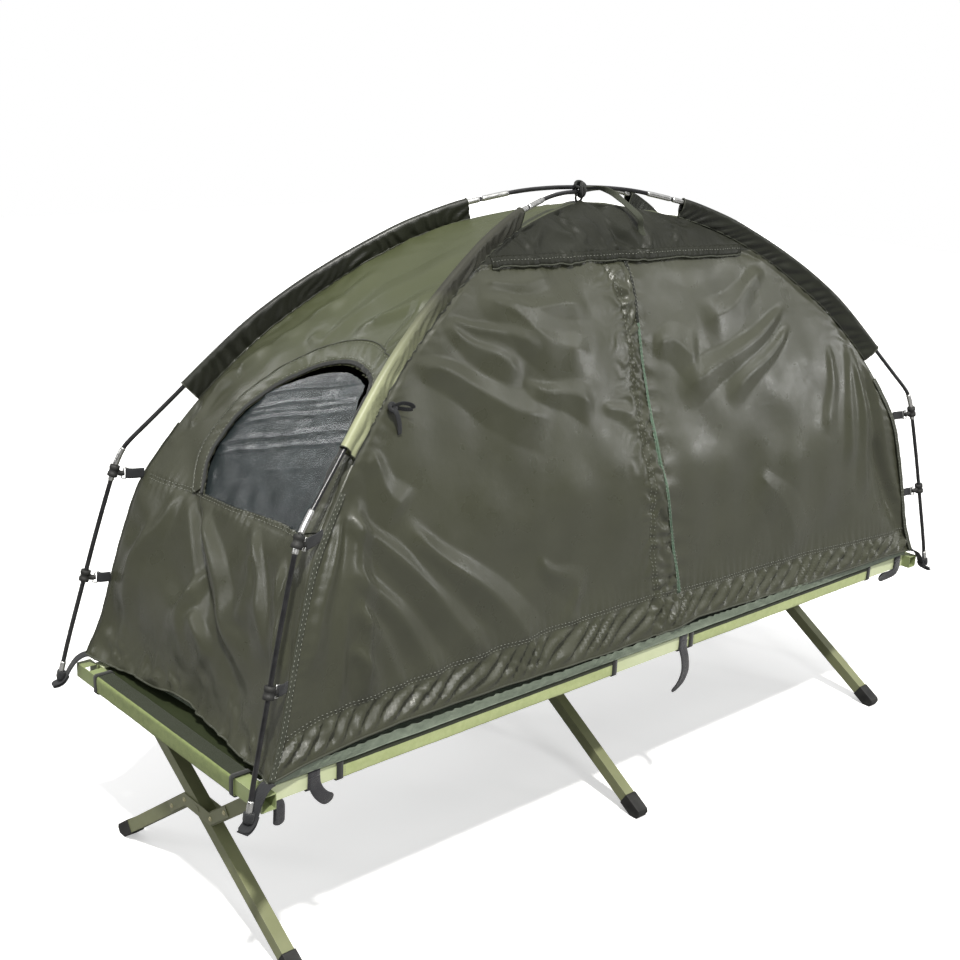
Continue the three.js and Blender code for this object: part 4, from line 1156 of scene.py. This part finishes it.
def make_cot_cloth():
    z = np.linspace(RAIL_Z - 0.011, RAIL_Z + 0.011, 12)
    for side, sign in SIDES.items():
        body, y = f"{side}_rail", sign * (RAIL_Y + RAIL / 2 + 0.0032)
        for end, span in SLEEVE_X.items():
            bound_sleeve(f"sleeve_of_rail_{side}_{end}", f"sleeve_band_{side}_{end}", 0, (sign * RAIL_Y, RAIL_Z), span,
                         "sleeve", body, 10 + sign, 0.012, 20, f"rail_sleeve_{side}_{end}")
            rows = [(xyz(x, y, z), np.tile([0.0, sign, 0], (12, 1))) for x in (span[0] + 0.016, span[1] - 0.016)]
            stitches(f"stitches_rail_{side}_{end}", rows, body, length=0.0028, gap=0.0016)
    for end, s in ENDS.items():
        bound_sleeve(f"sleeve_of_bar_{end}", f"bar_band_{end}", 1, (s * (BAR_X - RAIL / 2), RAIL_Z), BAR_SLEEVE_Y,
                     "bar_sleeve", f"end_bar_{end}", 30 + s, 0.010, 33, f"end_sleeve_{end}")
    # Bed: one taut cloth, sagging between the rails, with pulls towards its corners
    shape, p, x, y = flat_grid(np.linspace(-BED_X, BED_X, 260), np.linspace(-BED_Y, BED_Y, 76))
    sag = 0.0100 * (1 - (y / BED_Y) ** 2) * (1 - 0.5 * (np.abs(x) / 0.92) ** 8)
    pull = np.zeros(len(p))
    for corner in ((-0.92, -0.26), (-0.92, 0.26), (0.92, -0.26), (0.92, 0.26)):
        d = p - corner
        away, angle = np.linalg.norm(d, axis=1), np.arctan2(np.abs(d[:, 1]), np.abs(d[:, 0]))
        pull += 0.0016 * np.sin(angle * 16) * np.exp(-away / 0.12) * step(away, 0.0, 0.03)
    z = 0.3857 - sag + pull + 0.0006 * noise(p, 0.10, 91) - 0.0006
    return sheet_piece("bed_cloth_sheet", xyz(x, y, z).reshape(*shape, 3), "canvas", "near_rail",
                       replaces="bed_canvas", slot="bed_cloth")


# --- Straps round the rails: direction across each tail and its route, in millimetres along the rail, outwards from its
# face, and up from its lower edge
STRAP_TAILS = {
    "head": ((0.9, 0, 0.45), ((0, 0, 20), (2, 0, 4), (8, 4, -10), (20, 5, -22), (36, 1, -30))),
    "mid": ((1, 0, 0.1), ((0, 0, 20), (0, 0, 2), (2, 6, -20), (0, 10, -45), (-8, 7, -70), (-20, -2, -92))),
    "foot": ((0.7, 0, -0.9), ((0, 0, 20), (-2, 0, 2), (-10, -2, -8), (-30, -8, -14), (-56, -12, -16))),
}
# The free end of a strap sewn to the tent's corner, by the same measures from the middle of the rail's lower face
STRAP_END_X, STRAP_END = -0.906, ((0, 4, -2.5), (0, 14, -3.5), (1, 17, -14), (1, 16, -44))
STRAP_SECTION = ((-0.0122, 0.0), (-0.0115, 0.0013), (-0.004, 0.0016), (0.004, 0.0016), (0.0115, 0.0013), (0.0122, 0.0))


def make_straps():
    ring = rounded_ring(RAIL / 2 + 0.0026, 0.0045)
    ring = np.vstack([ring, ring[:1]])
    skew = 0.0025 * np.sin(np.linspace(0, 2 * np.pi, len(ring)))
    out = unit(np.column_stack([0 * skew, ring]))
    low = RAIL_Z - RAIL / 2
    for side, sign in SIDES.items():
        body = f"{side}_rail"
        for end, x in STRAP_X.items():
            line = xyz(x + skew, sign * RAIL_Y + ring[:, 0], RAIL_Z + ring[:, 1])
            cross = np.stack([line + [off, 0, 0] + out * lift for off, lift in STRAP_SECTION])
            sheet_piece(f"strap_loop_{side}_{end}", cross, "velcro", body,
                        replaces=f"strap_{side}_{end}", slot="webbing")
            across, places = STRAP_TAILS[end]
            tail = route([x, sign * (RAIL_Y + RAIL / 2 + 0.0046), low], places, [1, sign, 1], 44)
            ribbon(f"strap_tail_{side}_{end}", tail, across, 0.023, 0.0024, "velcro", body, taper=0.012)
    for side, sign in SIDES.items():
        path = route([STRAP_END_X, sign * RAIL_Y, low], STRAP_END, [1, sign, 1], 30)
        ribbon(f"strap_end_{side}_head", path, (1, 0, 0), 0.022, 0.0026, "velcro", f"{side}_rail", taper=0.007)


# --- Metal
def make_rivets():
    """Domed heads on both outer faces of each crossing's plates."""
    dome = [(0.0049 * math.cos(a), 0.0147 + 0.0024 * math.sin(a)) for a in np.linspace(0, np.pi / 2, 5)[:-1]]
    dome.append((0.0004, 0.0171))
    t = full_turn(18)
    for leg, x in LEG_X.items():
        parts = []
        for s, u in RIVETS:
            y = CROSS[0] - s * math.cos(LEAN_B) + u * math.sin(LEAN_B)
            z = CROSS[1] + s * math.sin(LEAN_B) + u * math.cos(LEAN_B)
            for face in (-1, 1):
                loops = [xyz(x + face * out, y + r * np.cos(t), z + r * np.sin(t)) for r, out in dome]
                parts.append(swept(np.array(loops)))
        several(f"rivet_heads_{leg}", parts, "brass", f"leg_b_{leg}")


BEVELS = {"rail": 0.0016, "bar": 0.0016, "leg": 0.0016, "bracket": 0.0005, "rubber": 0.0030}


def make_metal():
    """The CAD nodes that stay: softened edges, and paint or rubber."""
    looks = {"rail_near": "rail", "rail_far": "rail", "end_bar_head": "bar", "end_bar_foot": "bar"}
    for leg in LEG_X:
        for part, look in (("leg_a", "leg"), ("leg_b_upper", "leg"), ("leg_b_lower", "leg"),
                           ("leg_bracket", "bracket"), ("foot_cap_near", "rubber"), ("foot_cap_far", "rubber")):
            looks[f"{part}_{leg}"] = look
    for name, look in looks.items():
        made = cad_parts[name]
        made.data.materials.clear()
        made.data.materials.append(MATS[look])
        made.modifiers.new("weld", "WELD").merge_threshold = 0.00002
        bevel = made.modifiers.new("bevel", "BEVEL")
        bevel.width = BEVELS[look]
        bevel.segments, bevel.limit_method, bevel.angle_limit = 3, "ANGLE", math.radians(40)
        bevel.use_clamp_overlap, bevel.harden_normals = True, False


MATS = make_materials()
make_camera()
make_studio()
make_metal()
make_rivets()
canopy, SEAMS, HEM, EDGE, CANOPY_TREE = make_canopy()
make_wall_trims()
film = make_window(EDGE)
make_corner_seams(SEAMS, HEM)
make_poles()
make_pole_sleeves(SEAMS)
make_hub()
make_tape()
make_ties()
make_clips(SEAMS)
make_corner_webs()
floor = make_floor()
bed = make_cot_cloth()
make_straps()

# Each tent piece and the bed cloth get a mesh of their own
for made in TENT_PIECES:
    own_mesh(made)
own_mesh(bed)
